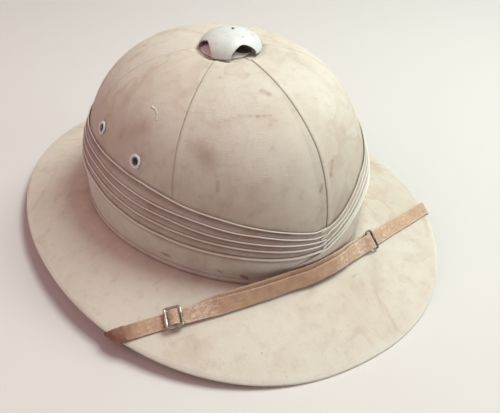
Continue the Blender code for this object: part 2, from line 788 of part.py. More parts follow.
def make_eyelets(crown, enamel):
    rim, bore, barrel, roll = EYELET_RADIUS, EYELET_BORE_RADIUS, EYELET_BARREL_RADIUS, EYELET_ROLL
    wall = CROWN_THICKNESS
    inside = -wall - 3.5 * GAP
    outline = [
        (bore, roll * 0.4),
        ((bore + rim) / 2, roll),
        (rim, roll * 0.45),
        (rim, GAP),
        (barrel, GAP),
        (barrel, inside),
        (rim, inside),
        (rim, inside - roll),
        (bore, inside - roll),
    ]
    cutters = []
    for hand, side in ((-1, "right"), (1, "left")):
        for name, degrees, height in EYELETS:
            place = crown_frame(hand * radians(degrees), height * MM + BRIM_THICKNESS)
            eyelet = add_turned(f"eyelet_{side}_{name}", outline, 14, enamel)
            eyelet.matrix_world = place
            hole = add_pin_cutter(f"eyelet_hole_{side}_{name}", place, barrel + 1.5 * GAP, 4 * wall)
            cutters.append(hole)
    cut(crown, cutters)


def make_strap(crown, leather, nickel):
    line = StrapLine()
    buckle_at, keeper_at = line.travel_at(BUCKLE_X), line.travel_at(KEEPER_X)
    buckle_place, keeper_place = line.at(buckle_at), line.at(keeper_at)
    total = line.travel[-1]
    marks = [0.0]
    while marks[-1] < total:
        past = marks[-1] - buckle_at
        by_buckle = -7 * MM < past < 6.5 * MM
        by_twist = 0 < past < STRAP_TWIST
        step = STRAP_FINE_STEP if by_buckle else STRAP_TWIST_STEP if by_twist else STRAP_STEP
        marks.append(min(marks[-1] + step, total))

    # the upper strap: from the right anchor, through the buckle, to its fold round the keeper's bar
    bar_back = KEEPER_LENGTH / 2 - KEEPER_WIRE
    keeper_height = STRAP_END_THICKNESS + KEEPER_WIRE + 2 * GAP
    over_height = keeper_height + KEEPER_WIRE + GAP
    upper = []
    for mark in marks:
        if mark > keeper_at - bar_back - 1.2 * MM:
            break
        away = abs(mark - buckle_at)
        hump = BUCKLE_HUMP * smooth((BUCKLE_HUMP_REACH - away) / (BUCKLE_HUMP_REACH - BUCKLE_HUMP_FLAT))
        climb = smooth((mark - keeper_at + bar_back + 9 * MM) / (9 * MM))
        upper.append(line.at(mark).moved(normal=hump + climb * over_height))
    over_bar = keeper_place.moved(ahead=-bar_back, normal=over_height)
    upper += folded_end(over_bar, KEEPER_WIRE + GAP, over=True, tail=1.4 * MM)
    right_tail = strap_tail(turned_back([line.at(0)])[0])
    strap_right = add_ribbon("strap_right", turned_back(right_tail) + upper, leather)

    # the lower strap: from its fold round the buckle's bar, through the keeper, to the left anchor
    bar_height = BUCKLE_HEIGHT - BUCKLE_BAR_DROP
    under_bar = buckle_place.moved(normal=bar_height - BUCKLE_BAR - GAP - STRAP_END_THICKNESS)
    lower = turned_back(folded_end(turned_back([under_bar])[0], BUCKLE_BAR + GAP, over=False, tail=0.6 * MM))
    for mark in marks:
        if mark > buckle_at + 3.2 * MM:
            here = line.at(mark)
            layer, offset = lower_layer(here.point.x)
            lower.append(here.moved(sideways=offset, normal=-layer))
    left_tail = strap_tail(lower[-1])
    strap_left = add_ribbon("strap_left", lower + left_tail, leather)

    buckle = add_loop("buckle", BUCKLE_LENGTH, BUCKLE_WIDTH, BUCKLE_WIRE, 1 * MM, nickel)
    buckle.matrix_world = buckle_place.moved(normal=BUCKLE_HEIGHT).matrix()
    bar = add_dropped_bar("buckle_bar", BUCKLE_WIDTH / 2 - BUCKLE_WIRE, BUCKLE_BAR_DROP, BUCKLE_BAR, nickel)
    bar.matrix_world = buckle.matrix_world
    join(buckle, bar)
    keeper = add_loop("keeper", KEEPER_LENGTH, KEEPER_WIDTH, KEEPER_WIRE, 1 * MM, nickel)
    keeper.matrix_world = keeper_place.moved(normal=keeper_height).matrix()
    for side, strap, tail in (("right", strap_right, right_tail), ("left", strap_left, left_tail)):
        add_stud(side, crown, strap, tail[-1].moved(ahead=-ANCHOR_FROM_END), nickel)


def add_stud(side, crown, strap, place, finish):
    """A plain stud inside the crown: its head holds the strap's end, its shank sits in the wall."""
    head, shank = ANCHOR_HEAD_RADIUS, ANCHOR_SHANK_RADIUS
    top = STRAP_THICKNESS + GAP
    outline = [
        (0.05 * MM, top + ANCHOR_HEAD),
        (head * 0.7, top + ANCHOR_HEAD),
        (head, top + ANCHOR_HEAD * 0.4),
        (head, top),
        (shank, top),
        (shank, top - ANCHOR_SHANK),
        (0.05 * MM, top - ANCHOR_SHANK),
    ]
    stud = add_turned(f"strap_stud_{side}", outline, 8, finish)
    stud.matrix_world = place.matrix()
    depth = ANCHOR_SHANK - top + GAP
    hole = add_pin_cutter(f"stud_hole_{side}", place.matrix(), shank + GAP, 2 * depth, sides=8)
    cut(strap, [hole])
    cut(crown, [hole])


clear_scene()
cutter_finish = material("cutter", (0.8, 0.1, 0.1), 0.5)
cotton = material("cotton", (0.83, 0.77, 0.65), 0.85)
band_cotton = material("band_cotton", (0.78, 0.73, 0.64), 0.85)
enamel = material("enamel", (0.86, 0.88, 0.84), 0.3)
nickel = material("nickel", (0.62, 0.6, 0.56), 0.35, 1.0)
leather = material("leather", (0.5, 0.3, 0.18), 0.6)

crown, brim = make_crown_and_brim(cotton)
band = add_ring("puggaree", band_section, full_turn(AROUND), band_cotton)
make_vent(enamel, nickel)
make_eyelets(crown, enamel)
make_strap(crown, leather, nickel)
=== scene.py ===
"""Dresses a pith helmet around its solids: cotton pasted over pressed pith, a folded cloth band, an enamelled
vent cap and eyelets, and a scuffed leather chin strap laid over the front of the brim.

Metres, +Z up. The front of the hat faces -Y and the wearer's left is +X. Angles round the hat run from the
front towards +X."""

from math import atan2, ceil, cos, degrees, pi, radians, sin, sqrt

import bmesh
import bpy
import numpy as np
from mathutils import Matrix, Vector


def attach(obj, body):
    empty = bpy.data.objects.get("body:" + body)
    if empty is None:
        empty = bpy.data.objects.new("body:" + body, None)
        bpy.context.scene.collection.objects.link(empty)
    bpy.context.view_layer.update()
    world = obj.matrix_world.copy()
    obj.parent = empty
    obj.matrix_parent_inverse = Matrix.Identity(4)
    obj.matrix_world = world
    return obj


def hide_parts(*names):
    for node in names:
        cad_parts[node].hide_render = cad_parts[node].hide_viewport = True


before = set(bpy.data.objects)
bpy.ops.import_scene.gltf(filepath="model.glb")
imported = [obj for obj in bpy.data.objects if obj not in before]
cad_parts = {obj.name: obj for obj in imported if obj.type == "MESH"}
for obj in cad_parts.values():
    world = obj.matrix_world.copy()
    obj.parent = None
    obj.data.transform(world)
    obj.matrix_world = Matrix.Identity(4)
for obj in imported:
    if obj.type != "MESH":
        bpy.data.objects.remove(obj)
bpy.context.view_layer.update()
MM = 0.001
GAP = 0.3 * MM

# Crown: a shell of pressed pith under six gores of cream cotton, pasted down and lapped at their seams, which
# run from the vent to the band. Its foot stands on the brim, hidden behind the band.
BRIM_THICKNESS = 2.4 * MM
ROOT_HEIGHT = 15.8 * MM
ROOT_SIDE_LIFT = 8 * MM
ROOT_FRONT_TILT = 5.6 * MM
ROOT_BACK_TILT = 2 * MM
CROWN_LENGTH = 217.6 * MM
CROWN_WIDTH = 180.6 * MM
CROWN_TOP = 130.3 * MM
CROWN_MIDDLE_Y = -8.3 * MM
CROWN_LEAN = -3.9 * MM
CROWN_FRONT_FULLNESS = 1.87
CROWN_BACK_FULLNESS = 2.03
CROWN_DOME_FULLNESS = 2.63
CROWN_THICKNESS = 3 * MM
CROWN_TUCK = 3 * MM
CROWN_TUCK_REACH = 0.42
VENT_HOLE = 8.2 * MM
VENT_PLACE = Vector((0, -14.6)) * MM
VENT_PLATE_PLACE = Vector((-2.2, -13.9)) * MM
VENT_SEAT_RADIUS = 20.2 * MM
VENT_SEAT_DEPTH = 1.4 * MM  # how far the vent has pressed the crown's top in
VENT_SEAT_SLOPE = 1.6 * MM  # width of the slope round it
CROWN_COLUMNS = 300
CROWN_OUTER_ROWS = 96
CROWN_INNER_ROWS = 26
SEAMS = (
    # angle in degrees at each of SEAM_RISES, and how open the seam's line is and how dark its painted shadow
    (-171.5, -169.5, -166, 0.5),
    (-110, -108, -106, 0.5),
    (-53.5, -56, -56, 0.55),
    (3.6, 5.7, 4.3, 0.8),
    (66, 68, 68.5, 0.2),
    (118, 118, 118, 0.5),
)
SEAM_RISES = (0.3, 0.72, 0.97)  # near the foot, two thirds of the way up, and at the vent
SEAM_GROOVE = 0.35 * MM  # half width and depth of the fine groove
SEAM_LAP = 3.4 * MM  # from the groove to the far side of the turned-in cloth beside it
SEAM_LAP_START = 0.2 * MM
SEAM_LAP_FULL = 0.7 * MM  # how far in from the groove, and from its far side, it has its whole height
SEAM_LAP_RISE = 0.22 * MM
SEAM_FADE = 2 * MM  # over which a seam's line runs out at the vent's seat
FRONT_RIGHT_SEAM = 2  # its row in SEAMS
FRONT_RIGHT_OPENS = (88 * MM, 112 * MM)  # heights between which its ridge becomes a dark line
FRONT_RIGHT_RIDGE = 0.12  # the share of its darkness that it has below them
SEAM_COLUMNS = tuple(v * MM for v in (-1.6, -0.9, -0.5, -0.25, 0, 0.25, 0.5, 0.9, 1.6, 2.6, 3.2, 3.8))
SEAM_CLEARING = 3 * MM  # half the stretch where a seam's own columns stand in for the even ones
CROWN_RIPPLES = (
    # waves round the crown and their start, radians of wave up each metre of its wall and their start,
    # and height in mm
    (7, 1, 55, 0, 0.12),
    (13, 0, 90, 2, 0.08),
)
CROWN_SOIL_AND_SHADE = 0.42  # at the foot of the wall
CROWN_SOIL_AND_SHADE_FADES = (40 * MM, 95 * MM)  # distances up the wall over which it goes
WEAVE_PITCH = 0.55 * MM  # two threads of the cotton
COTTON = (0.80, 0.75, 0.64)
BLEACHED = (0.88, 0.85, 0.77)
TEA = (0.58, 0.45, 0.32)
RUST = (0.34, 0.17, 0.10)
# brown-grey of soil with painted shade, for the crown's foot and the brim next to the band
SOIL_AND_SHADE = (0.28, 0.20, 0.175)
# painted shadow in the seams' grooves
SEAM_SHADOW = (0.10, 0.06, 0.05)
PITH = (0.62, 0.53, 0.38)


class Shade:
    """One output of a material's nodes. Arithmetic on it adds the nodes that work it out."""

    def __init__(self, socket):
        self.socket = socket

    def node(self, kind, settings=None, inputs=None, output=0):
        made = self.socket.id_data.nodes.new(kind)
        for name, value in (settings or {}).items():
            setattr(made, name, value)
        for name, value in (inputs or {}).items():
            if isinstance(value, Shade):
                self.socket.id_data.links.new(value.socket, made.inputs[name])
            else:
                made.inputs[name].default_value = value
        return Shade(made.outputs[output])

    def maths(self, operation, *others):
        return self.node("ShaderNodeMath", {"operation": operation}, dict(enumerate((self, *others))))

    def __add__(self, other):
        return self.maths("ADD", other)

    def __sub__(self, other):
        return self.maths("SUBTRACT", other)

    def __rsub__(self, other):
        return self * -1 + other

    def __mul__(self, other):
        return self.maths("MULTIPLY", other)

    __radd__ = __add__
    __rmul__ = __mul__

    def fade(self, low, high, first=0.0, last=1.0):
        """Goes smoothly from first to last as the value goes from low to high."""
        settings = {"interpolation_type": "SMOOTHSTEP"}
        return self.node("ShaderNodeMapRange", settings, {0: self, 1: low, 2: high, 3: first, 4: last})

    def tint(self, under, over):
        """The colour under, covered by the colour over as far as this value says."""
        under, over = (colour if isinstance(colour, Shade) else (*colour, 1) for colour in (under, over))
        return self.node("ShaderNodeMix", {"data_type": "RGBA"}, {0: self, 6: under, 7: over}, 2)

    def vector_maths(self, operation, *others, output=0):
        settings = {"operation": operation}
        return self.node("ShaderNodeVectorMath", settings, dict(enumerate((self, *others))), output)

    def stretched(self, x, y):
        return self.vector_maths("MULTIPLY", (x, y, 1))

    def part(self, index):
        return self.node("ShaderNodeSeparateXYZ", None, {0: self}, index)

    def noise(self, scale, detail=3.0, roughness=0.5, distortion=0.0):
        inputs = {"Scale": scale, "Detail": detail, "Roughness": roughness, "Distortion": distortion}
        return self.node("ShaderNodeTexNoise", None, {"Vector": self, **inputs})

    def attribute(self, name, output="Fac"):
        return self.node("ShaderNodeAttribute", {"attribute_name": name}, None, output)

    def bump(self, distance):
        return self.node("ShaderNodeBump", None, {"Height": self, "Distance": distance})

    def feed(self, shader, name):
        self.socket.id_data.links.new(self.socket, shader.inputs[name])


def new_finish(name, **constants):
    """A new material, its shader and the place of each of its points on the hat."""
    made = bpy.data.materials.new(name)
    made.use_nodes = True
    shader = made.node_tree.nodes["Principled BSDF"]
    for key, value in constants.items():
        shader.inputs[key.replace("_", " ")].default_value = value
    return made, shader, Shade(made.node_tree.nodes.new("ShaderNodeTexCoord").outputs["Object"])


def marked(place, marks):
    """Strength of the marks at a place. Each mark runs from one point to another, with its half width."""
    total = 0.0
    for x, y, z, to_x, to_y, to_z, half_width, strength in marks:
        start, way = Vector((x, y, z)) * MM, Vector((to_x - x, to_y - y, to_z - z)) * MM
        away = place.vector_maths("SUBTRACT", start)
        share = away.vector_maths("DOT_PRODUCT", way / way.length_squared, output="Value").fade(0, 1)
        nearest = place.node("ShaderNodeVectorMath", {"operation": "SCALE"}, {0: way, 3: share})
        gap = away.vector_maths("DISTANCE", nearest, output="Value")
        total = gap.fade(half_width * MM, 0, 0, strength) + total
    return total


def cotton_finish(name, colour, soil_and_shade, stains, blisters=()):
    """Plain-woven cotton: uneven thread, clouds of age, soil with painted shade in its folds, painted shadow
    along its seams, painted highlight with wear on its edges and lips, and stains.
    """
    made, shader, place = new_finish(name, Roughness=0.88, Specular_IOR_Level=0.2)
    cloth = place.attribute("cloth", "Vector")
    seam, grime_and_shade, wear_and_highlight = place.attribute("seam"), place.attribute("grime_and_shade"), place.attribute("wear_and_highlight")

    cloud = place.noise(14, 3, 0.55)
    blotch = place.noise(42, 5, 0.68)
    across = cloth.stretched(90, 1700).noise(1, 2, 0.6)
    upward = cloth.stretched(1700, 90).noise(1, 2, 0.6)
    slubs = across.fade(0.56, 0.76) + upward.fade(0.56, 0.78)
    shade = cloud.fade(0.42, 0.66, 0, 0.3).tint(colour, TEA)
    shade = (blotch.fade(0.5, 0.72, 0, 0.34) * cloud.fade(0.3, 0.6, 0.3, 1)).tint(shade, TEA)
    shade = blotch.fade(0.5, 0.3, 0, 0.2).tint(shade, BLEACHED)
    damp = place.noise(24, 2.5, 0.5, 0.3)
    tide = damp.fade(0.505, 0.525) * damp.fade(0.6, 0.525) * cloud.fade(0.42, 0.6, 0.08, 0.36)
    shade = tide.tint(shade, TEA)
    shade = (slubs * 0.18).tint(shade, BLEACHED)
    shade = place.noise(170, 3, 0.7).fade(0.5, 0.76, 0, 0.3).tint(shade, TEA)
    shade = place.noise(420, 1).fade(0.73, 0.8, 0, 0.35).tint(shade, TEA)
    shade = (marked(place, stains) * blotch.fade(0.3, 0.55, 0.45, 1.1)).tint(shade, RUST)
    # soil with painted shade: at the crown's foot, on the brim next to the band, and in the band's folds
    shade = (grime_and_shade * blotch.fade(0.3, 0.7, 0.75, 1.0)).tint(shade, soil_and_shade)
    # painted shadow along each seam's groove
    shade = (seam * 0.8).tint(shade, SEAM_SHADOW)
    blister = marked(place, blisters)
    # painted highlight with wear, on the brim's edge and the band's lips; a blister is bleached
    shade = (wear_and_highlight * 0.6 + blister * 0.8).tint(shade, BLEACHED)
    shade.feed(shader, "Base Color")

    thread = 2 * pi / WEAVE_PITCH
    waves = cloth.stretched(thread, thread)
    weave = waves.part(0).maths("SINE") * waves.part(1).maths("SINE")
    surface = weave * 0.35 + slubs * 0.6 + place.noise(700, 2, 0.6) * 0.7
    surface = surface + place.noise(60, 3) * 1.2 + blister * 6
    surface.bump(0.14 * MM).feed(shader, "Normal")
    return made


def signed_power(value, exponent):
    return abs(value) ** exponent * (1 if value >= 0 else -1)


def smooth(t):
    t = min(max(t, 0.0), 1.0)
    return t * t * (3 - 2 * t)


def oval(angle, half_width, front, back, front_fullness, back_fullness, middle_y):
    s, c = sin(angle), cos(angle)
    exponent = 2 / (front_fullness if c > 0 else back_fullness)
    x = half_width * signed_power(s, exponent)
    y = middle_y - (front if c > 0 else back) * signed_power(c, exponent)
    return Vector((x, y))


def placed(plan, z):
    return Vector((plan.x, plan.y, z))


def root_height(angle):
    """Height of the brim's upper side at the foot of the crown."""
    tilt = ROOT_FRONT_TILT if cos(angle) > 0 else ROOT_BACK_TILT
    return BRIM_THICKNESS + ROOT_HEIGHT + ROOT_SIDE_LIFT * sin(angle) ** 2 + tilt * cos(angle)


def crown_oval(angle, offset, rise=0.0):
    """Plan of the crown's wall: rise is 0 at its foot and 1 at its top, offset grows it all round."""
    spread = (1 - rise**CROWN_DOME_FULLNESS) ** (1 / CROWN_DOME_FULLNESS)
    tuck = CROWN_TUCK * smooth(1 - rise / CROWN_TUCK_REACH)
    half_width = (CROWN_WIDTH / 2 + offset) * spread - tuck
    half_length = (CROWN_LENGTH / 2 + offset) * spread - tuck
    middle_y = CROWN_MIDDLE_Y + CROWN_LEAN * rise
    return oval(
        angle, half_width, half_length, half_length, CROWN_FRONT_FULLNESS, CROWN_BACK_FULLNESS, middle_y
    )


def crown_wall(angle, spread, offset):
    """A point of the dome where its plan has shrunk to this share of its foot."""
    rise = (1 - spread**CROWN_DOME_FULLNESS) ** (1 / CROWN_DOME_FULLNESS)
    foot = root_height(angle) + GAP
    return placed(crown_oval(angle, offset, rise), foot + (CROWN_TOP + offset - foot) * rise)


def net_faces(rows, columns, rows_meet=True, columns_meet=True):
    """Quads between the points of a net, stored row by row; its ends can meet to close it."""
    faces = []
    for row in range(rows if rows_meet else rows - 1):
        for i in range(columns if columns_meet else columns - 1):
            a, b = row * columns, (row + 1) % rows * columns
            j = (i + 1) % columns
            faces.append((a + i, a + j, b + j, b + i))
    return faces


def tube_faces(rows, columns):
    """Quads between a tube's cross-sections, and a face across each of its ends."""
    ends = [tuple(range(first, first + columns)) for first in (0, (rows - 1) * columns)]
    return net_faces(rows, columns, rows_meet=False) + ends


def add_mesh(name, points, faces, finishes, sharp=60):
    """A smooth piece, creased where two faces turn by more than sharp degrees."""
    mesh = bpy.data.meshes.new(name)
    mesh.from_pydata([tuple(p) for p in points], [], faces)
    shell = bmesh.new()
    shell.from_mesh(mesh)
    bmesh.ops.recalc_face_normals(shell, faces=shell.faces)
    shell.to_mesh(mesh)
    shell.free()
    mesh.shade_smooth()
    mesh.set_sharp_from_angle(angle=radians(sharp))
    for finish in finishes:
        mesh.materials.append(finish)
    made = bpy.data.objects.new(name, mesh)
    bpy.context.scene.collection.objects.link(made)
    return made


def note(piece, name, values):
    """Stores a number, or a vector, at each point of a piece for its finish to read."""
    values = np.array(values, np.float32)
    kind, field = ("FLOAT_VECTOR", "vector") if values.ndim > 1 else ("FLOAT", "value")
    piece.data.attributes.new(name, kind, "POINT").data.foreach_set(field, values.ravel())


def turn_between(a, b):
    """The turn from angle b to angle a, the short way round."""
    return (a - b + pi) % (2 * pi) - pi


def seam_sway(angle, rise):
    """How far round the columns of cloth have gone at a height, from where they stand at their foot."""
    table = np.radians(np.array(SEAMS)[:, :3])
    sways = [float(np.interp(rise, SEAM_RISES, row)) - row[0] for row in table]
    return float(np.interp(angle, table[:, 0], sways, period=2 * pi))


def crown_point(angle, row, offset):
    """A point of the dome on a column of its cloth; row is 0 at its foot and pi / 2 at its top."""
    rise = sin(row) ** (2 / CROWN_DOME_FULLNESS)
    point = crown_wall(angle + seam_sway(angle, rise), cos(row) ** (2 / CROWN_DOME_FULLNESS), offset)
    if offset == 0:
        inside = VENT_SEAT_RADIUS - (point.xy - VENT_PLACE).length
        point.z -= VENT_SEAT_DEPTH * smooth(inside / VENT_SEAT_SLOPE + 1)
    return point


seam_angles = [radians(row[0]) for row in SEAMS]
crown_angles = {round(2 * pi * i / CROWN_COLUMNS - pi, 6) for i in range(CROWN_COLUMNS)}
for seam in seam_angles:
    arm = crown_wall(seam, 1, 0).xy.length
    middle = seam + SEAM_LAP / 3 / arm
    crown_angles = {a for a in crown_angles if abs(turn_between(a, middle)) > SEAM_CLEARING / arm}
    crown_angles |= {round(seam + v / arm, 6) for v in SEAM_COLUMNS}
crown_angles = sorted(crown_angles)
top_row = pi / 2 - (VENT_HOLE / (CROWN_WIDTH / 2)) ** (CROWN_DOME_FULLNESS / 2)
outer_rows = [top_row * i / (CROWN_OUTER_ROWS - 1) for i in range(CROWN_OUTER_ROWS)]
inner_rows = [top_row * (1 - i / (CROWN_INNER_ROWS - 1)) for i in range(CROWN_INNER_ROWS)]
outer = np.array([[crown_point(a, row, 0) for row in outer_rows] for a in crown_angles])
inner = [[crown_point(a, row, -CROWN_THICKNESS) for row in inner_rows] for a in crown_angles]
along = np.roll(outer, -1, axis=0) - np.roll(outer, 1, axis=0)
up = np.gradient(outer, axis=1)
crown_normals = np.cross(along, up)
crown_normals /= np.linalg.norm(crown_normals, axis=2, keepdims=True)
angles_row = np.array(crown_angles)
span = (np.roll(angles_row, -1) - np.roll(angles_row, 1)) % (2 * pi)
arm = np.linalg.norm(along, axis=2) / span[:, None]


def seam_strength(index, points):
    """How dark the painted shadow in a seam's groove is; the front right one closes towards its foot and
    stays as a pale ridge.
    """
    from_vent = np.linalg.norm(points[..., :2] - np.array(VENT_PLACE), axis=-1)
    fade = np.interp(from_vent, (VENT_SEAT_RADIUS, VENT_SEAT_RADIUS + SEAM_FADE), (0, 1))
    strength = SEAMS[index][3] * fade
    if index == FRONT_RIGHT_SEAM:
        strength *= np.interp(points[..., 2], FRONT_RIGHT_OPENS, (FRONT_RIGHT_RIDGE, 1))
    return strength


seam_groove = np.zeros(outer.shape[:2])
crown_relief = np.zeros(outer.shape[:2])
cloth_across = np.zeros(outer.shape[:2])
for k, seam in enumerate(seam_angles):
    beside = turn_between(angles_row, seam)[:, None] * arm
    groove = np.exp(-((beside / SEAM_GROOVE) ** 2))
    lap = np.interp(beside, (SEAM_LAP_START, SEAM_LAP_FULL, SEAM_LAP - SEAM_LAP_FULL, SEAM_LAP), (0, 1, 1, 0))
    seam_groove = np.maximum(seam_groove, groove * seam_strength(k, outer))
    crown_relief += SEAM_LAP_RISE * lap - SEAM_GROOVE * groove
    following = seam_angles[(k + 1) % len(SEAMS)]
    width = turn_between(following, seam) % (2 * pi)
    inside_gore = (turn_between(angles_row, seam) % (2 * pi)) < width
    middle = seam + width / 2
    cloth_across[inside_gore] = turn_between(angles_row, middle)[inside_gore][:, None] * arm[inside_gore]
height_along = np.cumsum(np.linalg.norm(np.diff(outer, axis=1, prepend=outer[:, :1]), axis=2), axis=1)
ripple = sum(
    np.sin(angles_row * waves + start)[:, None] * np.sin(height_along * up_waves + up_start) * high * MM
    for waves, start, up_waves, up_start, high in CROWN_RIPPLES
)
outer = outer + crown_normals * (crown_relief + ripple)[..., None]

crown_points = [p for wall, lining in zip(outer, inner) for p in [*wall, *lining]]
crown_columns = CROWN_OUTER_ROWS + CROWN_INNER_ROWS
crown_stains = (
    # from x, y, z to x, y, z in mm, half width, strength
    (-8.1, -63.3, 124.1, -6.2, -66.3, 123.2, 3.0, 0.5),
    (14.6, -102.8, 92.6, 11.1, -106.8, 86.9, 1.8, 0.5),
    (3.5, -109.3, 84.0, 1.7, -110.6, 81.1, 1.8, 0.45),
    (-27.2, -70.6, 117.0, -19.0, -75.6, 117.0, 2.2, 0.22),
    (-19.0, -75.6, 117.0, -12.0, -78.4, 116.9, 1.4, 0.28),
    (-48.9, -84.5, 89.0, -50.0, -86.0, 84.8, 2.0, 0.4),
    # the next two wide soft marks, on the wearer's right where the hat is in shade, are stains with painted
    # shade
    (-52.3, -67.5, 103.2, -50.2, -75.0, 99.0, 9.0, 0.32),
    (-66.5, -38.0, 104.8, -77.5, -21.5, 93.6, 9.0, 0.13),
    (-23.2, -42.2, 126.9, -23.3, -42.4, 126.9, 0.9, 0.6),
)
crown_blisters = (
    (-60.8, -30.8, 112.3, -60.0, -33.4, 111.9, 1.1, 0.9),
    (-60.0, -33.4, 111.9, -60.4, -36.6, 110.6, 1.1, 0.9),
    (-60.4, -36.6, 110.6, -62.1, -39.3, 108.5, 0.9, 0.8),
)
crown_cotton = cotton_finish("crown_cotton", COTTON, SOIL_AND_SHADE, crown_stains, crown_blisters)
pith, pith_shader, pith_place = new_finish("pith", Roughness=0.95, Specular_IOR_Level=0.1)
grain = pith_place.noise(260, 4, 0.7)
grain.fade(0.35, 0.7).tint([v * 0.8 for v in PITH], PITH).feed(pith_shader, "Base Color")
grain.bump(0.3 * MM).feed(pith_shader, "Normal")

crown_faces = net_faces(len(crown_angles), crown_columns)
crown = add_mesh("crown_cotton", crown_points, crown_faces, [crown_cotton, pith], 80)
for face in crown.data.polygons:
    face.material_index = int(min(v % crown_columns for v in face.vertices) >= CROWN_OUTER_ROWS - 1)
filler = np.zeros((len(crown_angles), CROWN_INNER_ROWS))
# painted shadow along the seams' grooves
note(crown, "seam", np.hstack([seam_groove, filler]).ravel())
# soil with painted shade, darkest at the foot of the wall
foot_soil_and_shade = np.interp(height_along, CROWN_SOIL_AND_SHADE_FADES, (CROWN_SOIL_AND_SHADE, 0))
note(crown, "grime_and_shade", np.hstack([foot_soil_and_shade, filler]).ravel())
cloth = np.stack([cloth_across, height_along, np.zeros_like(height_along)], axis=2)
note(crown, "cloth", np.concatenate([cloth, np.zeros((*filler.shape, 3))], axis=1).reshape(-1, 3))
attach(crown, "root")
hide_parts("crown")

# Brim: pressed pith between two layers of the same cotton, whose outer one is turned over the rounded edge.
# It dips at the front and back, where the hat rests, and rises at the sides.
BRIM_LENGTH = 340 * MM
BRIM_WIDTH = 265.6 * MM
BRIM_FRONT_REACH = 160.7 * MM
BRIM_FRONT_FULLNESS = 2.19
BRIM_BACK_FULLNESS = 1.94
BRIM_SIDE_LIFT = 11.2 * MM
BRIM_LIFT_POWER = 1.4
BRIM_CAMBER = 1.5 * MM
BRIM_WAVES = (
    # waves round the brim, their start, and height in mm
    (5, 0.6, 0.25),
    (9, 2, 0.16),
)
BRIM_RIPPLE = 0.1 * MM
BRIM_WEAR_AND_HIGHLIGHT = (
    # distance in from the edge in mm, and how much painted highlight and wear the cloth has there
    (0, 0.9),
    (1.2, 0.6),
    (3.5, 0),
)
BRIM_SOIL_AND_SHADE = 0.35  # at the foot of the crown
BRIM_SOIL_AND_SHADE_FADES = (2 * MM, 10 * MM)  # distances from it over which it goes
REST_HALF_ANGLE = radians(12)
REST_LAND = 3 * MM
BRIM_COLUMNS = 420
BRIM_TOP_ROWS = 44
BRIM_UNDER_ROWS = 24
BRIM_EDGE_STEPS = 9


def brim_edge(angle):
    widest_y = BRIM_FRONT_REACH - BRIM_LENGTH / 2
    back_reach = BRIM_LENGTH - BRIM_FRONT_REACH
    return oval(
        angle, BRIM_WIDTH / 2, BRIM_FRONT_REACH, back_reach, BRIM_FRONT_FULLNESS, BRIM_BACK_FULLNESS, widest_y
    )


def edge_lift(angle):
    """Height of the underside of the brim's edge."""
    flat = sin(REST_HALF_ANGLE)
    beyond = max(0.0, abs(sin(angle)) - flat) / (1 - flat)
    return BRIM_SIDE_LIFT * beyond**BRIM_LIFT_POWER


def brim_top(angle, across):
    """A point of the brim's upper side, from the crown (across 0) to the edge (across 1)."""
    root = crown_oval(angle, 0)
    plan = root + (brim_edge(angle) - root) * across
    high, low = root_height(angle), BRIM_THICKNESS + edge_lift(angle)
    return placed(plan, high + (low - high) * across + BRIM_CAMBER * 4 * across * (1 - across))


def full_turn(count):
    return [2 * pi * i / count - pi for i in range(count)]


def brim_outline(angle):
    """The brim's section: upper side, rounded edge and underside. Each point has its way in from the edge."""
    root, edge = brim_top(angle, 0), brim_top(angle, 1)
    width = (edge - root).length
    roll = BRIM_THICKNESS / 2
    unevenness = sum(sin(angle * waves + start) * high for waves, start, high in BRIM_WAVES) * MM
    inner = crown_oval(angle, -CROWN_THICKNESS)
    outline = [(placed(inner, root.z), width)]
    for i in range(BRIM_TOP_ROWS):
        across = (1 - roll / width) * i / (BRIM_TOP_ROWS - 1)
        point = brim_top(angle, across)
        ripple = BRIM_RIPPLE * sin(across * 21 + angle * 6) * across * (1 - across)
        point.z += unevenness * sin(pi * across) + ripple
        outline.append((point, width * (1 - across)))
    middle = brim_top(angle, 1 - roll / width)
    middle.z = edge_lift(angle) + roll
    outward = (edge - root).xy.normalized()
    top_turn = atan2(outline[-1][0].z - middle.z, 0.1 * MM)
    for i in range(1, BRIM_EDGE_STEPS):
        turn = top_turn - (top_turn + pi / 2) * i / BRIM_EDGE_STEPS
        outline.append((middle + placed(outward * cos(turn), sin(turn)) * roll, 0.0))
    land = REST_LAND / width
    first = 1 - land * 0.4
    for i in range(BRIM_UNDER_ROWS):
        across = first - first * (i / (BRIM_UNDER_ROWS - 1))
        point = brim_top(angle, across)
        settle = smooth((across - (1 - land)) / land * 2)
        point.z = (point.z - BRIM_THICKNESS) * (1 - settle) + edge_lift(angle) * settle
        outline.append((point, width * (1 - across)))
    outline.append((placed(inner, root.z - BRIM_THICKNESS), width))
    return outline


brim_rows = [brim_outline(a) for a in full_turn(BRIM_COLUMNS)]
brim_points = [p for row in brim_rows for p, _ in row]
brim_stains = (
    # from x, y, z to x, y, z in mm, half width, strength
    (-131.2, 28, 14.5, -130.6, 19, 14.5, 1.0, 0.5),
    (-129.8, 10, 14.5, -129.4, 4, 14.5, 0.8, 0.4),
    # a short dark line of painted shade where the edge has a small crease
    (-47.8, -155.9, 5.6, -48.7, -160.3, 3.8, 0.5, 0.5),
    (-53.8, -141.7, 10.9, -53.9, -141.9, 10.9, 0.9, 0.55),
    (-109.7, 56.0, 16.2, -109.8, 56.2, 16.2, 0.9, 0.5),
    (-83.8, -46.3, 26.4, -84.2, -46.2, 26.4, 0.8, 0.6),
    (22.2, -126.3, 19.3, 25, -125.2, 19.3, 1.0, 0.25),
)
brim_cotton = cotton_finish("brim_cotton", COTTON, SOIL_AND_SHADE, brim_stains)
brim = add_mesh("brim_cotton", brim_points, net_faces(BRIM_COLUMNS, len(brim_rows[0])), [brim_cotton], 80)
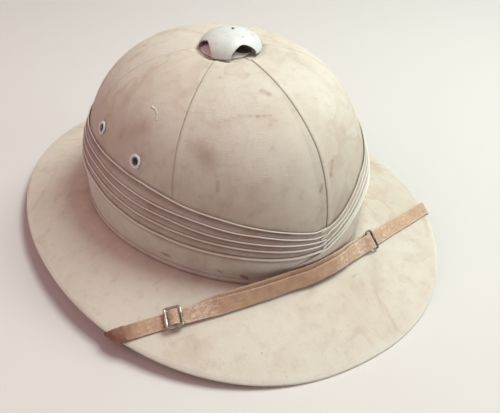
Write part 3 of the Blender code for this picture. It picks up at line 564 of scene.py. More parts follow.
from_edge = np.array([inset for row in brim_rows for _, inset in row])
from_root = np.array([row[0][1] for row in brim_rows for _ in row]) - from_edge
wear_at, wear = np.array(BRIM_WEAR_AND_HIGHLIGHT).T
# painted highlight with wear along the rounded edge
note(brim, "wear_and_highlight", np.interp(from_edge, wear_at * MM, wear))
# soil with painted shade next to the band
note(brim, "grime_and_shade", np.interp(from_root, BRIM_SOIL_AND_SHADE_FADES, (BRIM_SOIL_AND_SHADE, 0)))
note(brim, "cloth", [(p.x, p.y, 0) for p in brim_points])
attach(brim, "root")
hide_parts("brim")

# Puggaree: one long scarf of fine cotton, folded into five pleats that face up, over a doubled hem. It is
# wound once round the crown from the front, towards the wearer's right, and its end lies slantwise over its
# start.
WRAP_START = (
    # angle, and the height of each pleat's lip over the brim from the top one down, in mm
    (8, 34.4, 30.2, 27.4, 24.8, 20.8),
    (-3, 34.6, 30.5, 27.8, 25.0, 20.9),
    (-10, 36.9, 32.7, 29.1, 25.5, 20.4),
    (-25, 41.2, 36.8, 31.7, 27.5, 21.4),
    (-50, 46.7, 40.6, 35.4, 30.2, 22.7),
    (-66, 50.8, 42.6, 37.4, 31.2, 23.6),
    (-90, 52.8, 46.5, 42.3, 36.5, 29.5),
    (-135, 53.5, 47.5, 43.0, 37.2, 30.2),
    (-180, 52.0, 46.5, 41.5, 36.0, 30.0),
)
WRAP_END = (
    (180, 52.0, 46.5, 41.5, 36.0, 30.0),
    (135, 53.5, 47.5, 43.0, 37.2, 30.2),
    (91, 54.0, 48.2, 43.5, 37.5, 31.0),
    (60, 53.0, 48.5, 44.5, 39.0, 33.0),
    (30, 49.0, 45.5, 42.0, 37.0, 34.0),
    (20, 43.3, 40.2, 36.8, 32.0, 30.2),
    (10, 36.4, 33.2, 29.7, 26.3, 24.0),
    (3, 33.4, 28.4, 25.0, 21.9, 20.2),
)
END_EDGE = (
    # height over the brim in mm, and the angle where the scarf's end reaches to
    (0, -18.5),
    (3, -17),
    (7, -14),
    (12.8, -10.2),
    (15, -7),
    (17, -3.6),
    (19.2, 0.2),
    (20.6, 2.4),
    (22.5, 0.6),
    (25.4, 0.4),
    (26.8, 1.6),
    (28.3, 0.2),
    (30, 0.8),
    (32, -1.2),
    (33.5, 0.8),
    (35.1, 2.1),
)
END_COLUMN = 3  # degrees, the angle that the end's first column stands at before it slants
END_SLANT_REACH = 22  # degrees over which the columns come upright again
WRAP_STEP = 0.68  # degrees between columns
END_LIFT = 0.35 * MM  # how far the end stands off what it lies on
END_LIFT_FROM = 8 * MM  # the height over the brim where it starts to do so
END_LIFT_OVER = 10 * MM
UNDER_PRESS = 1.1 * MM  # how far the start is pressed flat under it
PLEAT_STAND = tuple(v * MM for v in (1.6, 2.2, 2.8, 3.3, 3.8))
LIP_RADII = tuple(v * MM for v in (0.42, 0.45, 0.5, 0.6, 0.8))
LIP_TURNS = tuple(radians(v) for v in (170, 135, 105, 75, 45, 10, -25, -60))
LIP_OPEN = radians(75)  # the turn that the open side of a lip faces, and half its width
LIP_CLOSES = radians(60)  # over which the cloth goes from open to folded
TOP_LIP_SHADE = 0.11  # how deep in a fold the top lip counts as, for less painted highlight and wear
PLEAT_DEPTH = 1.6 * MM  # from a pleat's lip in to the cloth under it
PLEAT_CREASE = 1.6  # from a lip down to the bottom of the crease behind it, in its radii
PLEAT_BELLY = 0.3 * MM  # how far a pleat bulges between two lips
PLEAT_SHELTER = 4.2 * MM  # how far down from a lip the cloth is sheltered, with painted shade and soil
BAND_FOOT_STAND = 2.7 * MM
HEM_HEIGHT = 3 * MM
HEM_STAND = 3.2 * MM
HEM_ROWS = (
    # height in hem heights, stand off the crown in mm, and how deep in a fold it is, for its painted shade
    (1.18, 2.6, 0.55),
    (1.03, 2.72, 0.75),
    (1.0, 2.9, 0.4),
    (0.93, 3.08, 0.3),
    (0.8, 3.18, 0.3),
    (0.45, 3.2, 0.35),
    (0.2, 3.2, 0.6),
)
BAND_INNER_ROWS = 12
BAND_INNER_STAND = 0.48 * MM
BAND_LOW = 0.2 * MM  # between the hem and the brim under it
HEM_TURN = 0.35 * MM  # how far its lower edge is turned in
STRAP_PRESS = 0.8 * MM  # how far the chin strap presses the band's lower part in, at the front
STRAP_PRESS_HALF_ANGLE = radians(22)
STRAP_PRESS_TOP = 16 * MM  # the height over the brim where that ends
STRAP_PRESS_FADE = 6 * MM
BAND_RADIUS = 100 * MM  # roughly, to make lengths of cloth out of angles
BAND_LIT_ANGLE = radians(40)  # the window's side, where folds show the least painted shade and soil
BAND_LIT_SHARE = 0.35  # and the share of it that they show there
MUSLIN = (0.74, 0.70, 0.63)
# dark mauve of soil with painted shade in the band's folds
MAUVE_SOIL_AND_SHADE = (0.25, 0.13, 0.12)


def lip_heights(table, angle):
    """Heights of the five lips, which a hand has laid not quite evenly."""
    rows = np.array(sorted(table))
    heights = [np.interp(degrees(angle), rows[:, 0], column) for column in rows[:, 1:].T]
    return [
        (height + 0.22 * sin(angle * (7 + k) + 2 * k) + 0.14 * sin(angle * (17 - 2 * k) + k)) * MM
        for k, height in enumerate(heights)
    ]


def pleated(lips, depth):
    """The scarf's outer side from the top lip down: height, stand off the crown, how deep in a fold."""
    out = []
    for i, (lip, stand, radius) in enumerate(zip(lips, PLEAT_STAND, LIP_RADII)):
        for turn in LIP_TURNS:
            # open side of a lip, facing up and out: painted highlight with wear; folded side: painted shade
            fold = 0.8 * smooth((abs(turn - LIP_OPEN) - LIP_OPEN) / LIP_CLOSES)
            fold = max(fold, TOP_LIP_SHADE if i == 0 else 0.0)
            out.append((lip - radius + radius * sin(turn), stand - radius + radius * cos(turn), fold))
        top = lip - 1.8 * radius
        if i < len(lips) - 1:
            low, back = lips[i + 1] + 0.1 * MM, PLEAT_STAND[i + 1] - 2 * LIP_RADII[i + 1]
            steps, fold_fading = 6, 0.5
        else:
            low, back = HEM_HEIGHT * 1.25, BAND_FOOT_STAND - 0.3 * MM
            steps, fold_fading = 14, 0.75
        for k in range(steps):
            share = (k + 0.6) / steps
            inner = max(stand - PLEAT_DEPTH * depth, BAND_INNER_STAND + 0.25 * MM)
            reach = inner + (back - inner) * smooth(share) + PLEAT_BELLY * sin(pi * share)
            # painted shade with soil, darkest just under a lip and fading down the pleat
            fold = 1 - smooth(share * (top - low) / PLEAT_SHELTER) * fold_fading
            out.append((top + (low - top) * share, reach, fold))
        if i < len(lips) - 1:
            out.append((lips[i + 1] - PLEAT_CREASE * LIP_RADII[i + 1], back - 0.02 * MM, 1.0))
    return out + [(HEM_HEIGHT * height, stand * MM, fold) for height, stand, fold in HEM_ROWS]


def strap_press(angle):
    """How far the chin strap presses the band in at an angle."""
    return STRAP_PRESS * smooth((STRAP_PRESS_HALF_ANGLE - abs(angle)) / radians(6))


def band_column(angle, lips, depth, lift, shift, pinch):
    """One section of the scarf, closed along the crown; shift turns a height by an angle."""
    outer = pleated(lips, depth)
    rows = []
    for height, stand, fold in outer:
        turned = angle + shift(height)
        stand += lift * smooth((height - END_LIFT_FROM) / END_LIFT_OVER) + 0.25 * lift
        stand -= strap_press(turned) * smooth((STRAP_PRESS_TOP - height) / STRAP_PRESS_FADE)
        stand = max(stand - pinch * (stand - BAND_INNER_STAND) * 0.5, BAND_INNER_STAND + 0.2 * MM)
        rows.append((turned, height, stand, fold))
    turned = angle + shift(0.0)
    brim_way = (brim_top(turned, 1) - brim_top(turned, 0)).xy.length
    hem_stand = HEM_STAND - strap_press(turned) - pinch * MM
    low = brim_top(turned, (hem_stand - HEM_TURN) / brim_way).z - root_height(turned) + BAND_LOW
    # the hem's foot counts as deep in a fold: painted shade along the band's foot
    rows.append((turned, low + 0.25 * MM, hem_stand - 0.05 * MM, 0.9))
    rows.append((turned, low, hem_stand - HEM_TURN, 1.0))
    for i in range(BAND_INNER_ROWS):
        height = 0.5 * MM + (lips[0] - 1.2 * MM) * i / (BAND_INNER_ROWS - 1)
        stand = BAND_INNER_STAND + max(lift + pinch * 0.6 * MM, 0)
        rows.append((angle + shift(height), height, stand, 1.0))
    points = []
    for turned, height, stand, _ in rows:
        foot = root_height(turned)
        points.append(placed(crown_oval(turned, stand, max(height, 0) / (CROWN_TOP - foot)), foot + height))
    return points, rows


def end_reach(height):
    """The angle that the scarf's end reaches to at a height."""
    heights, angles = np.array(END_EDGE).T
    return radians(float(np.interp(height / MM, heights, angles)))


def wrap_columns():
    """Sections from the start, hidden at the front, round the back to the end that lies over it."""
    start_from, end_at = WRAP_START[0][0], END_COLUMN
    steps = ceil((start_from + 180) / WRAP_STEP)
    for i in range(steps):
        angle = radians(start_from - (start_from + 180) * i / steps)
        covered = smooth((degrees(angle - end_reach(22 * MM)) - 1) / 3)
        lips = lip_heights(WRAP_START, angle)
        yield band_column(angle, lips, 1 - covered * 0.6, -covered * UNDER_PRESS, lambda height: 0.0, 0.0)
    steps = ceil((180 - end_at) / WRAP_STEP)
    angles = [(radians(180 - (180 - end_at) * i / steps), 0.0) for i in range(steps + 1)]
    fold = 0.45 * MM / (CROWN_LENGTH / 2)
    angles += [(radians(end_at) - fold * sin(t), 1 - cos(t)) for t in (0.5, 0.95, 1.3)]
    for angle, pinch in angles:
        near = 1 - smooth((degrees(angle) - END_COLUMN) / END_SLANT_REACH)
        lift = END_LIFT * near

        def shift(height, near=near):
            return (end_reach(height) - radians(END_COLUMN)) * near

        yield band_column(angle, lip_heights(WRAP_END, angle), 1 - near * 0.3, lift, shift, pinch)


def fold_shade_share(angle):
    """How much of its painted shade and soil a fold shows at an angle: least on the window's side."""
    return BAND_LIT_SHARE + (1 - BAND_LIT_SHARE) * smooth(abs(angle - BAND_LIT_ANGLE) / radians(45) * 2 - 1.4)


band_columns = list(wrap_columns())
band_points = [p for points, _ in band_columns for p in points]
band_faces = tube_faces(len(band_columns), len(band_columns[0][0]))
band_stains = (
    # from x, y, z to x, y, z in mm, half width, strength
    (-76, -64.5, 34.8, -72, -68.5, 34.2, 1.8, 0.8),
    (-53.2, -93.4, 33, -52.2, -94.2, 32.2, 1.9, 0.9),
    (-43, -101.8, 30.8, -40, -103, 29.4, 1.9, 0.8),
)
muslin = cotton_finish("puggaree_muslin", MUSLIN, MAUVE_SOIL_AND_SHADE, band_stains)
puggaree = add_mesh("puggaree_muslin", band_points, band_faces, [muslin], 75)
band_rows = [row for _, rows in band_columns for row in rows]
# painted shade with soil deep in the folds, less on the window's side
note(puggaree, "grime_and_shade", [1.05 * max(fold - 0.12, 0) * fold_shade_share(angle) for angle, _, _, fold in band_rows])
# painted highlight with wear on the lips' open sides
note(puggaree, "wear_and_highlight", [1.4 * max(1 - 5 * fold, 0) for _, _, _, fold in band_rows])
note(puggaree, "cloth", [(angle * BAND_RADIUS, height + stand, 0) for angle, height, stand, _ in band_rows])
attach(puggaree, "root")
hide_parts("puggaree")

# Vent: a pressed cap with four arches over a round plate, both enamelled, held through the crown by a tube
# with its end turned out. A rivet's small steel head shows at the cap's top.
VENT_CAP_RADIUS = 19.3 * MM
VENT_CAP_HEIGHT = 11.7 * MM
VENT_CAP_TILT = radians(1.5)
VENT_TILT_AXIS = (-0.53, -0.85, 0)
VENT_FOOT_GAP = 0.3 * MM
VENT_CAP_WALL = 1 * MM
VENT_CAP_EDGE = 0.4 * MM  # how far up from the cap's cut edge its wall is rounded off
VENT_ARCHES = 4
VENT_ARCH_TURN = radians(-3)
VENT_ARCH_HALF_ANGLE = radians(27.5)
VENT_ARCH_HEIGHT = 7 * MM
VENT_ARCH_FULLNESS = 1.8
VENT_ARCH_STEPS = 40
VENT_FOOT_STEPS = 14
VENT_RINGS = 26
VENT_BASE_RADIUS = 15.6 * MM
VENT_BASE_RISE = 2.2 * MM
# the cap's painted shadow on the plate: its middle, from the plate's middle, and its radius
VENT_CAP_SHADOW_PLACE = Vector((4.7, -3.1)) * MM  # from the plate's middle
VENT_CAP_SHADOW_RADIUS = 10.5 * MM
VENT_BASE_THICKNESS = 0.8 * MM
VENT_BASE_DROOP = 0.5 * MM
VENT_BORE_RADIUS = 4.1 * MM
VENT_TUBE_RADIUS = 4.9 * MM
VENT_RIVET_RADIUS = 0.85 * MM
VENT_RIVET_PLACE = Vector((1.6, -0.8)) * MM
VENT_RIVET_DOME = (
    # radius as a share of the head's, and height in mm
    (0.35, 0.38),
    (0.7, 0.3),
    (0.93, 0.15),
)
POLE = 0.05 * MM  # radius of the fine hole left in the middle of a turned piece
ENAMEL = (0.80, 0.835, 0.80)
ENAMEL_GREEN = (0.60, 0.70, 0.62)
# pinkish grey of soil with painted pink shade, on the plate under the cap
ENAMEL_SOIL_AND_PINK_SHADE = (0.88, 0.80, 0.77)
# dark brown: the cap's rusty inside with painted shade, and the cap's painted shadow on the plate
CAP_SHADE_BROWN = (0.13, 0.095, 0.08)


def enamel_finish(name, colour):
    """Glossy white enamel, dulled and speckled by weather, with rust where its edges have chipped. A piece
    can ask for soil with painted pink shade, and for the cap's painted shadow.
    """
    made, shader, place = new_finish(name, Roughness=0.38)
    rim, soil_and_pink_shade, cap_shadow = place.attribute("rim"), place.attribute("soil_and_pink_shade"), place.attribute("cap_shadow")
    speckle = place.noise(1500, 2, 0.7)
    cloud = place.noise(150, 3, 0.6)
    shade = cloud.fade(0.42, 0.68, 0, 0.42).tint(colour, ENAMEL_GREEN)
    shade = speckle.fade(0.6, 0.75, 0, 0.38).tint(shade, [v * 0.62 for v in ENAMEL_GREEN])
    shade = place.noise(330, 1).fade(0.7, 0.76, 0, 0.5).tint(shade, (0.42, 0.40, 0.36))
    # soil with painted pink shade
    shade = soil_and_pink_shade.tint(shade, ENAMEL_SOIL_AND_PINK_SHADE)
    # the painted shadow that the cap casts on the plate
    shade = cap_shadow.fade(0.4, 0.6).tint(shade, CAP_SHADE_BROWN)
    shade = (rim * place.noise(420, 3).fade(0.3, 0.6, 0.25, 0.9)).tint(shade, (0.24, 0.12, 0.09))
    shade.feed(shader, "Base Color")
    (speckle.fade(0.4, 0.8, 0.36, 0.6) + rim * 0.3).feed(shader, "Roughness")
    (speckle + cloud * 2).bump(0.05 * MM).feed(shader, "Normal")
    return made


def metal_finish(name, colour, dull, roughness):
    """Worn plate: bright where it is rubbed and dull where it is sheltered."""
    made, shader, place = new_finish(name, Metallic=1.0)
    patch = place.noise(320, 4, 0.65).fade(0.4, 0.64)
    patch.tint(colour, dull).feed(shader, "Base Color")
    (patch * 0.3 + roughness).feed(shader, "Roughness")
    (place.noise(1400, 3) + patch).bump(0.06 * MM).feed(shader, "Normal")
    return made


def turned_points(outline, sides):
    """Points of an outline of (radius, height) swung round the Z axis."""
    return [(r * sin(a), -r * cos(a), z) for a in full_turn(sides) for r, z in outline]


def add_turned(name, outline, sides, finish, sharp):
    """A ring or knob: a closed outline of (radius, height) swung round the Z axis."""
    return add_mesh(name, turned_points(outline, sides), net_faces(sides, len(outline)), [finish], sharp)


def arc(centre_r, centre_z, radius, first, last, steps):
    """Points of an outline along an arc, from its first turn to its last one in degrees."""
    turns = [radians(first + (last - first) * i / steps) for i in range(steps + 1)]
    return [(centre_r + radius * cos(t), centre_z + radius * sin(t)) for t in turns]


def vent_cap_net():
    """The cap's two skins between a hole for its rivet and an edge that four arches cut into."""
    pitch = 2 * pi / VENT_ARCHES
    ways = []
    for arch in range(VENT_ARCHES):
        middle = VENT_ARCH_TURN + arch * pitch
        for i in range(VENT_ARCH_STEPS):
            share = sin(pi / 2 * (2 * i / VENT_ARCH_STEPS - 1))
            rise = (1 - abs(share) ** VENT_ARCH_FULLNESS) ** (1 / VENT_ARCH_FULLNESS)
            ways.append((middle + share * VENT_ARCH_HALF_ANGLE, rise * VENT_ARCH_HEIGHT))
        foot = pitch - 2 * VENT_ARCH_HALF_ANGLE
        for i in range(VENT_FOOT_STEPS):
            ways.append((middle + VENT_ARCH_HALF_ANGLE + foot * i / VENT_FOOT_STEPS, 0.0))
    hole = (VENT_RIVET_RADIUS * 0.6 + GAP) / VENT_CAP_RADIUS
    points, rim = [], []
    for angle, cutaway in ways:

        def at(inset, share):
            radius, high = VENT_CAP_RADIUS - inset, VENT_CAP_HEIGHT - inset
            widest = np.arccos(cutaway / high)
            flat = radius * sin(hole + (widest - hole) * share)
            plan = Vector((sin(angle), -cos(angle))) * flat + VENT_RIVET_PLACE * (1 - share) ** 2
            return (*plan, high * sqrt(max(1 - plan.length_squared / radius**2, 0)))

        edge = VENT_CAP_EDGE / VENT_CAP_RADIUS
        shares = [i / VENT_RINGS * (1 - edge) for i in range(VENT_RINGS + 1)]
        section = [(at(0, s), (1 - s) * VENT_CAP_RADIUS) for s in shares]
        for depth, back in ((0.12, 0.25), (0.5, 0), (0.88, 0.25)):
            section.append((at(VENT_CAP_WALL * depth, 1 - edge * back), 0))
        section += [(at(VENT_CAP_WALL, s), 0) for s in reversed(shares)]
        points += [p for p, _ in section]
        rim += [float(np.interp(inset, (0, VENT_CAP_EDGE, 0.9 * MM), (1, 0.6, 0))) for _, inset in section]
    return points, rim, len(ways), len(section)


vent_seat = CROWN_TOP + GAP - VENT_SEAT_DEPTH
enamel = enamel_finish("enamel", ENAMEL)
# the cap's inside: dark rusty metal with painted shade
vent_dark, vent_dark_shader, vent_dark_place = new_finish("vent_inside", Roughness=0.7)
inside_mottle = vent_dark_place.noise(300, 3)
inside_mottle.fade(0.3, 0.7).tint(CAP_SHADE_BROWN, [v * 2 for v in CAP_SHADE_BROWN]).feed(vent_dark_shader, "Base Color")
inside_mottle.bump(0.1 * MM).feed(vent_dark_shader, "Normal")
steel = metal_finish("dull_steel", (0.30, 0.26, 0.23), (0.13, 0.09, 0.07), 0.42)

cap_points, cap_rim, cap_ways, cap_size = vent_cap_net()
vent_cap = add_mesh("vent_cap_enamel", cap_points, net_faces(cap_ways, cap_size), [enamel, vent_dark], 70)
for face in vent_cap.data.polygons:
    face.material_index = int(min(v % cap_size for v in face.vertices) > VENT_RINGS + 2)
note(vent_cap, "rim", cap_rim)
cap_place = placed(VENT_PLACE, vent_seat + VENT_FOOT_GAP)
tilt = Matrix.Rotation(VENT_CAP_TILT, 4, VENT_TILT_AXIS)
vent_cap.matrix_world = Matrix.Translation(cap_place) @ tilt

plate, thick, inside = VENT_BASE_RADIUS, VENT_BASE_THICKNESS, VENT_SEAT_DEPTH - CROWN_THICKNESS - 4.5 * GAP
base_outline = [(VENT_BORE_RADIUS, inside - thick), (VENT_BORE_RADIUS, thick - 0.3 * MM)]
base_outline = [(r, z + VENT_BASE_RISE * (z > 0)) for r, z in base_outline]
base_outline += [(VENT_BORE_RADIUS + 0.3 * MM, thick + VENT_BASE_RISE)]
base_outline += [
    (plate * s, thick - VENT_BASE_DROOP * s**6 + VENT_BASE_RISE * smooth((1 - s) * 2.4))
    for s in (0.4, 0.5, 0.58, 0.64, 0.7, 0.76, 0.82, 0.88, 0.94)
]
base_outline += arc(plate - thick / 2, thick / 2 - VENT_BASE_DROOP, thick / 2, 80, -80, 6)
base_outline += [(plate * 0.7, 0), (VENT_TUBE_RADIUS, 0), (VENT_TUBE_RADIUS, inside)]
base_outline += arc(VENT_TUBE_RADIUS + 1.6 * MM, inside - thick / 2, thick / 2, 90, -90, 4)
vent_base = add_turned("vent_base_enamel", base_outline, 96, enamel, 50)
vent_base.location = placed(VENT_PLATE_PLACE, vent_seat + GAP)
# soil with painted pink shade over the whole plate
note(vent_base, "soil_and_pink_shade", [0.85] * len(vent_base.data.vertices))
# a soft-edged disc of painted shadow under the cap
cap_shadow_gaps = [(v.co.xy - VENT_CAP_SHADOW_PLACE).length - VENT_CAP_SHADOW_RADIUS for v in vent_base.data.vertices]
note(vent_base, "cap_shadow", [smooth(0.5 - gap / (3 * MM)) for gap in cap_shadow_gaps])
head, stem, wall = VENT_RIVET_RADIUS, VENT_RIVET_RADIUS * 0.6, VENT_CAP_WALL
rivet_outline = [(POLE, GAP + 0.4 * MM)] + [(head * r, GAP + high * MM) for r, high in VENT_RIVET_DOME]
rivet_outline += [(head, GAP), (stem, GAP), (stem, -wall - 2 * GAP)]
rivet_outline += [(head * 1.6, -wall - 2 * GAP), (head * 1.6, -wall - 4 * GAP), (POLE, -wall - 4 * GAP)]
vent_rivet = add_turned("vent_rivet_head", rivet_outline, 32, steel, 40)
rivet_height = VENT_CAP_HEIGHT * sqrt(1 - VENT_RIVET_PLACE.length_squared / VENT_CAP_RADIUS**2)
rivet_seat = Matrix.Translation(placed(VENT_RIVET_PLACE, rivet_height))
rivet_way = placed(VENT_RIVET_PLACE / VENT_CAP_RADIUS**2, rivet_height / VENT_CAP_HEIGHT**2)
rivet_turn = rivet_way.to_track_quat("Z", "Y").to_matrix().to_4x4()
vent_rivet.matrix_world = vent_cap.matrix_world @ rivet_seat @ rivet_turn
for piece, slot, node in (
    (vent_cap, "enamel", "vent_cap"),
    (vent_base, "enamel", "vent_base"),
    (vent_rivet, "dark_metal", "vent_rivet"),
):
    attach(piece, "root")
    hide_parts(node)

# Eyelets: two on each side, to let air through. Each is a ring rolled from enamelled sheet metal, whose
# barrel is pushed through the crown and turned out inside it.
EYELETS = (("front", 71.1, 83.9), ("rear", 96.3, 86.0))  # name, angle from the front, height in mm
EYELET_RADIUS = 4.3 * MM
EYELET_BORE_RADIUS = 2.3 * MM
EYELET_BARREL_RADIUS = 2.9 * MM
EYELET_ROLL = 0.9 * MM
EYELET_SIDES = 56
EYELET_PROUD = Matrix.Translation((0, 0, 0.3 * MM))
EYELET_WHITE = (0.80, 0.82, 0.86)


def crown_frame(angle, height):
    """Placement on the dome: local Z is outward and local Y is up the wall."""
    foot = root_height(angle) + GAP

    def at(turn, z):
        return placed(crown_oval(turn, 0, (z - foot) / (CROWN_TOP - foot)), z)

    step = 0.5 * MM
    up = (at(angle, height + step) - at(angle, height - step)).normalized()
    way = (at(angle + 0.01, height) - at(angle - 0.01, height)).normalized()
    normal = way.cross(up).normalized()
    side = up.cross(normal).normalized()
    turned = Matrix((side, normal.cross(side), normal)).transposed().to_4x4()
    return Matrix.Translation(at(angle, height)) @ turned


def peg(radius, low, high, sides):
    """Points and faces of a round peg along the Z axis, to punch a hole with."""
    faces = net_faces(sides, 2, columns_meet=False)
    faces += [tuple(range(end, sides * 2, 2)) for end in (0, 1)]
    return turned_points([(radius, low), (radius, high)], sides), faces


eyelet_enamel = enamel_finish("eyelet_enamel", EYELET_WHITE)
rim, bore, barrel, roll = EYELET_RADIUS, EYELET_BORE_RADIUS, EYELET_BARREL_RADIUS, EYELET_ROLL
inside = -CROWN_THICKNESS - 3.5 * GAP
middle, half = (bore + rim) / 2, (rim - bore) / 2
eyelet_outline = [(bore, inside - roll * 0.6), (bore, roll * 0.1)]
for turn in np.linspace(0.15, pi - 0.1, 12):
    eyelet_outline.append((middle - half * cos(turn), roll * (0.15 + 0.85 * sin(turn))))
eyelet_outline += [(rim, 0.02 * MM), (barrel, 0.02 * MM), (barrel, inside), (rim - roll / 2, inside)]
eyelet_outline += arc(rim - roll / 2, inside - roll / 2, roll / 2, 80, -80, 4)
eyelet_outline.append((bore + roll / 3, inside - roll))
eyelet_rim = [0.8 * (r < bore + 0.3 * MM or z < 0.2 * MM) for r, z in eyelet_outline]
eyelet_peg, peg_faces = peg(barrel + GAP, -4 * CROWN_THICKNESS, 2 * CROWN_THICKNESS, EYELET_SIDES)
hole_points, hole_faces = [], []
for hand, side in ((-1, "right"), (1, "left")):
    for name, angle, height in EYELETS:
        place = crown_frame(hand * radians(angle), height * MM + BRIM_THICKNESS) @ EYELET_PROUD
        eyelet = add_turned(f"eyelet_{side}_{name}_ring", eyelet_outline, EYELET_SIDES, eyelet_enamel, 50)
        eyelet.matrix_world = place
        note(eyelet, "rim", eyelet_rim * EYELET_SIDES)
        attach(eyelet, "root")
        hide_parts(f"eyelet_{side}_{name}")
        hole_faces += [tuple(len(hole_points) + v for v in face) for face in peg_faces]
        hole_points += [place @ Vector(p) for p in eyelet_peg]


def punch(piece, points, faces):
    """Cuts a closed shape out of a piece."""
    holes = add_mesh("holes", points, faces, [])
    piece.modifiers.new("holes", "BOOLEAN").object = holes
    bpy.context.view_layer.update()
    cut = bpy.data.meshes.new_from_object(piece.evaluated_get(bpy.context.evaluated_depsgraph_get()))
    piece.modifiers.clear()
    piece.data = cut
    bpy.data.objects.remove(holes)


punch(crown, hole_points, hole_faces)

# Chin strap: two leather straps, laid over the front of the brim. The one from the wearer's right goes
# through a sliding buckle and on over the other one to a keeper; both turn under the brim and end at a stud
# inside the crown. The leather is dry and tan, with whitish scuffs where it has bent.
STRAP_WIDTH = 9.5 * MM
STRAP_THICKNESS = 1.2 * MM
STRAP_LAYER = STRAP_THICKNESS + 0.25 * MM
LAYERS_START = 6 * MM  # short of the buckle, where the lower strap starts to lie under the upper one
LAYERS_RISE = 8 * MM  # over which it comes to do so
LAYERS_FALL = 12 * MM  # past the keeper, over which it comes up again
STRAP_AIR = 0.2 * MM
STRAP_LINE = (
    # x and y of the strap's outer edge in mm, its lean off the brim in degrees, its lift off the brim in mm,
    # and how far the lower layer shows above the upper one in mm
    (-112, -98.0, 0, 0.3, 0),
    (-102, -101.2, 0, 0.3, 0),
    (-94, -103.9, 0, 0.5, 0),
    (-87, -106.6, 0, 1.1, 0),
    (-80, -108.9, 2, 1.1, 0.6),
    (-73, -110.7, 9, 1.0, 1.2),
    (-66, -112.2, 22, 0.9, 1.8),
    (-59, -113.5, 38, 0.9, 2.1),
    (-43, -116.2, 52, 1.0, 2.3),
    (-27, -118.7, 56, 1.5, 2.4),
    (-10, -120.2, 57, 2.3, 2.4),
    (5, -120.0, 56, 3.3, 2.3),
    (20, -118.8, 50, 2.8, 1.8),
    (34, -116.8, 38, 1.8, 1.3),
    (46, -114.2, 28, 1.3, 0.6),
    (56, -112.0, 18, 0.7, 0),
    (66, -109.6, 8, 0.4, 0),
    (77, -107.0, 3, 0.3, 0),
    (93, -103.2, 1, 0.3, 0),
    (106, -99.4, 0, 0.3, 0),
)
SURVEY_POINTS = 1441  # round the brim, a quarter of a degree apart
STRAP_SAMPLES = 480
STRAP_STEP = 1.3 * MM
STRAP_EVENING = 13  # samples over which the strap's stiffness evens its way out
STRAP_EDGE_SHARE = 0.985
STRAP_EDGE_LIFT = 0.55 * MM  # how much further off the brim it is as it comes to the edge
STRAP_EDGE_RADIUS = BRIM_THICKNESS / 2 + 1.1 * MM
STRAP_EDGE_TURN = radians(174)
STRAP_UNDER_GAP = 1.4 * MM
STRAP_CORNER_RADIUS = 1 * MM
STRAP_WALL_GAP = 3.4 * MM
STRAP_WALL_TURN = radians(80)
STRAP_END_THICKNESS = 0.7 * MM
STRAP_PARING = 5 * MM  # over which an end is pared down to that
UPPER_PARED_FROM = 6 * MM  # from the upper strap's end back to where its paring starts
UPPER_CLIMBS_FROM = 9 * MM  # and back to where it starts to climb over the keeper
UPPER_CLIMB = 8.6 * MM
UPPER_FOLD = 1.4 * MM  # what is folded back under it past the keeper's wire
LOWER_START = 3.2 * MM  # from the buckle's bar to where the lower strap is back on the strap's line
LOWER_FOLD = 0.6 * MM  # what is folded back over it past the bar
STRAP_ROUND = 0.32 * MM  # radius of the leather's burnished edges
ANCHOR_REACH = 20 * MM
ANCHOR_FROM_END = 5 * MM
BUCKLE_X = -87 * MM
BUCKLE_LENGTH = 10.6 * MM
BUCKLE_WIDTH = 13.2 * MM
BUCKLE_WIRE = 0.85 * MM
BUCKLE_HEIGHT = STRAP_THICKNESS + BUCKLE_WIRE + 2 * GAP
BUCKLE_BAR = 0.5 * MM
BUCKLE_BAR_DROP = 2.1 * MM
BUCKLE_HUMP = 2.5 * MM
BUCKLE_HUMP_FLAT = 1.9 * MM
BUCKLE_HUMP_REACH = 3.7 * MM
KEEPER_X = 48.5 * MM
KEEPER_LENGTH = 5.8 * MM
KEEPER_WIRE = 0.65 * MM
LEATHER = (0.65, 0.42, 0.28)
LEATHER_DARK = (0.36, 0.19, 0.12)
LEATHER_END = (0.20, 0.085, 0.055)
LEATHER_SCUFF = (0.80, 0.68, 0.56)
STRAP_WEAR = (
    # x in mm, how scuffed and how darkened the strap is there
    (-125, 0.25, 1.0),
    (-115, 0.3, 0.95),
    (-110, 0.45, 0.5),
    (-104, 0.6, 0.12),
    (-93, 0.75, 0.15),
    (-80, 0.9, 0.1),
    (-66, 0.8, 0.05),
    (-58, 0.3, 0.15),
    (-8, 0.2, 0.2),
    (8, 0.45, 0.15),
    (18, 0.85, 0.0),
    (26, 0.5, 0.1),
    (34, 0.95, 0.0),
    (44, 0.7, 0.1),
    (56, 0.65, 0.0),
    (80, 0.5, 0.0),
    (105, 0.55, 0.0),
)


def spline(rows, samples):
    """Points along a smooth curve through rows of numbers."""
    table = np.array(rows, float)
    padded = np.vstack([2 * table[0] - table[1], table, 2 * table[-1] - table[-2]])
    out = []
    for value in np.linspace(0, len(table) - 1, samples):
        i = min(int(value), len(table) - 2)
        t = value - i
        a, b, c, d = padded[i : i + 4]
        bend = 2 * a - 5 * b + 4 * c - d
        out.append(b + 0.5 * t * (c - a + t * (bend + t * (3 * (b - c) + d - a))))
    return out


survey_angles = np.linspace(-pi, pi, SURVEY_POINTS)
survey_root = np.array([crown_oval(a, 0)[:] for a in survey_angles])
survey_span = np.array([brim_edge(a)[:] for a in survey_angles]) - survey_root


def brim_place(x, y):
    """Angle and share across the brim of a plan point."""
    away = np.array((x, y)) - survey_root
    across = (away * survey_span).sum(1) / (survey_span**2).sum(1)
    miss = np.linalg.norm(away - across[:, None] * survey_span, axis=1)
    miss[across < -0.5] = np.inf
    best = int(np.argmin(miss))
    return float(survey_angles[best]), float(across[best])


def brim_height(x, y):
    """Height of the brim's upper side over a plan point."""
    return brim_top(*brim_place(x, y)).z


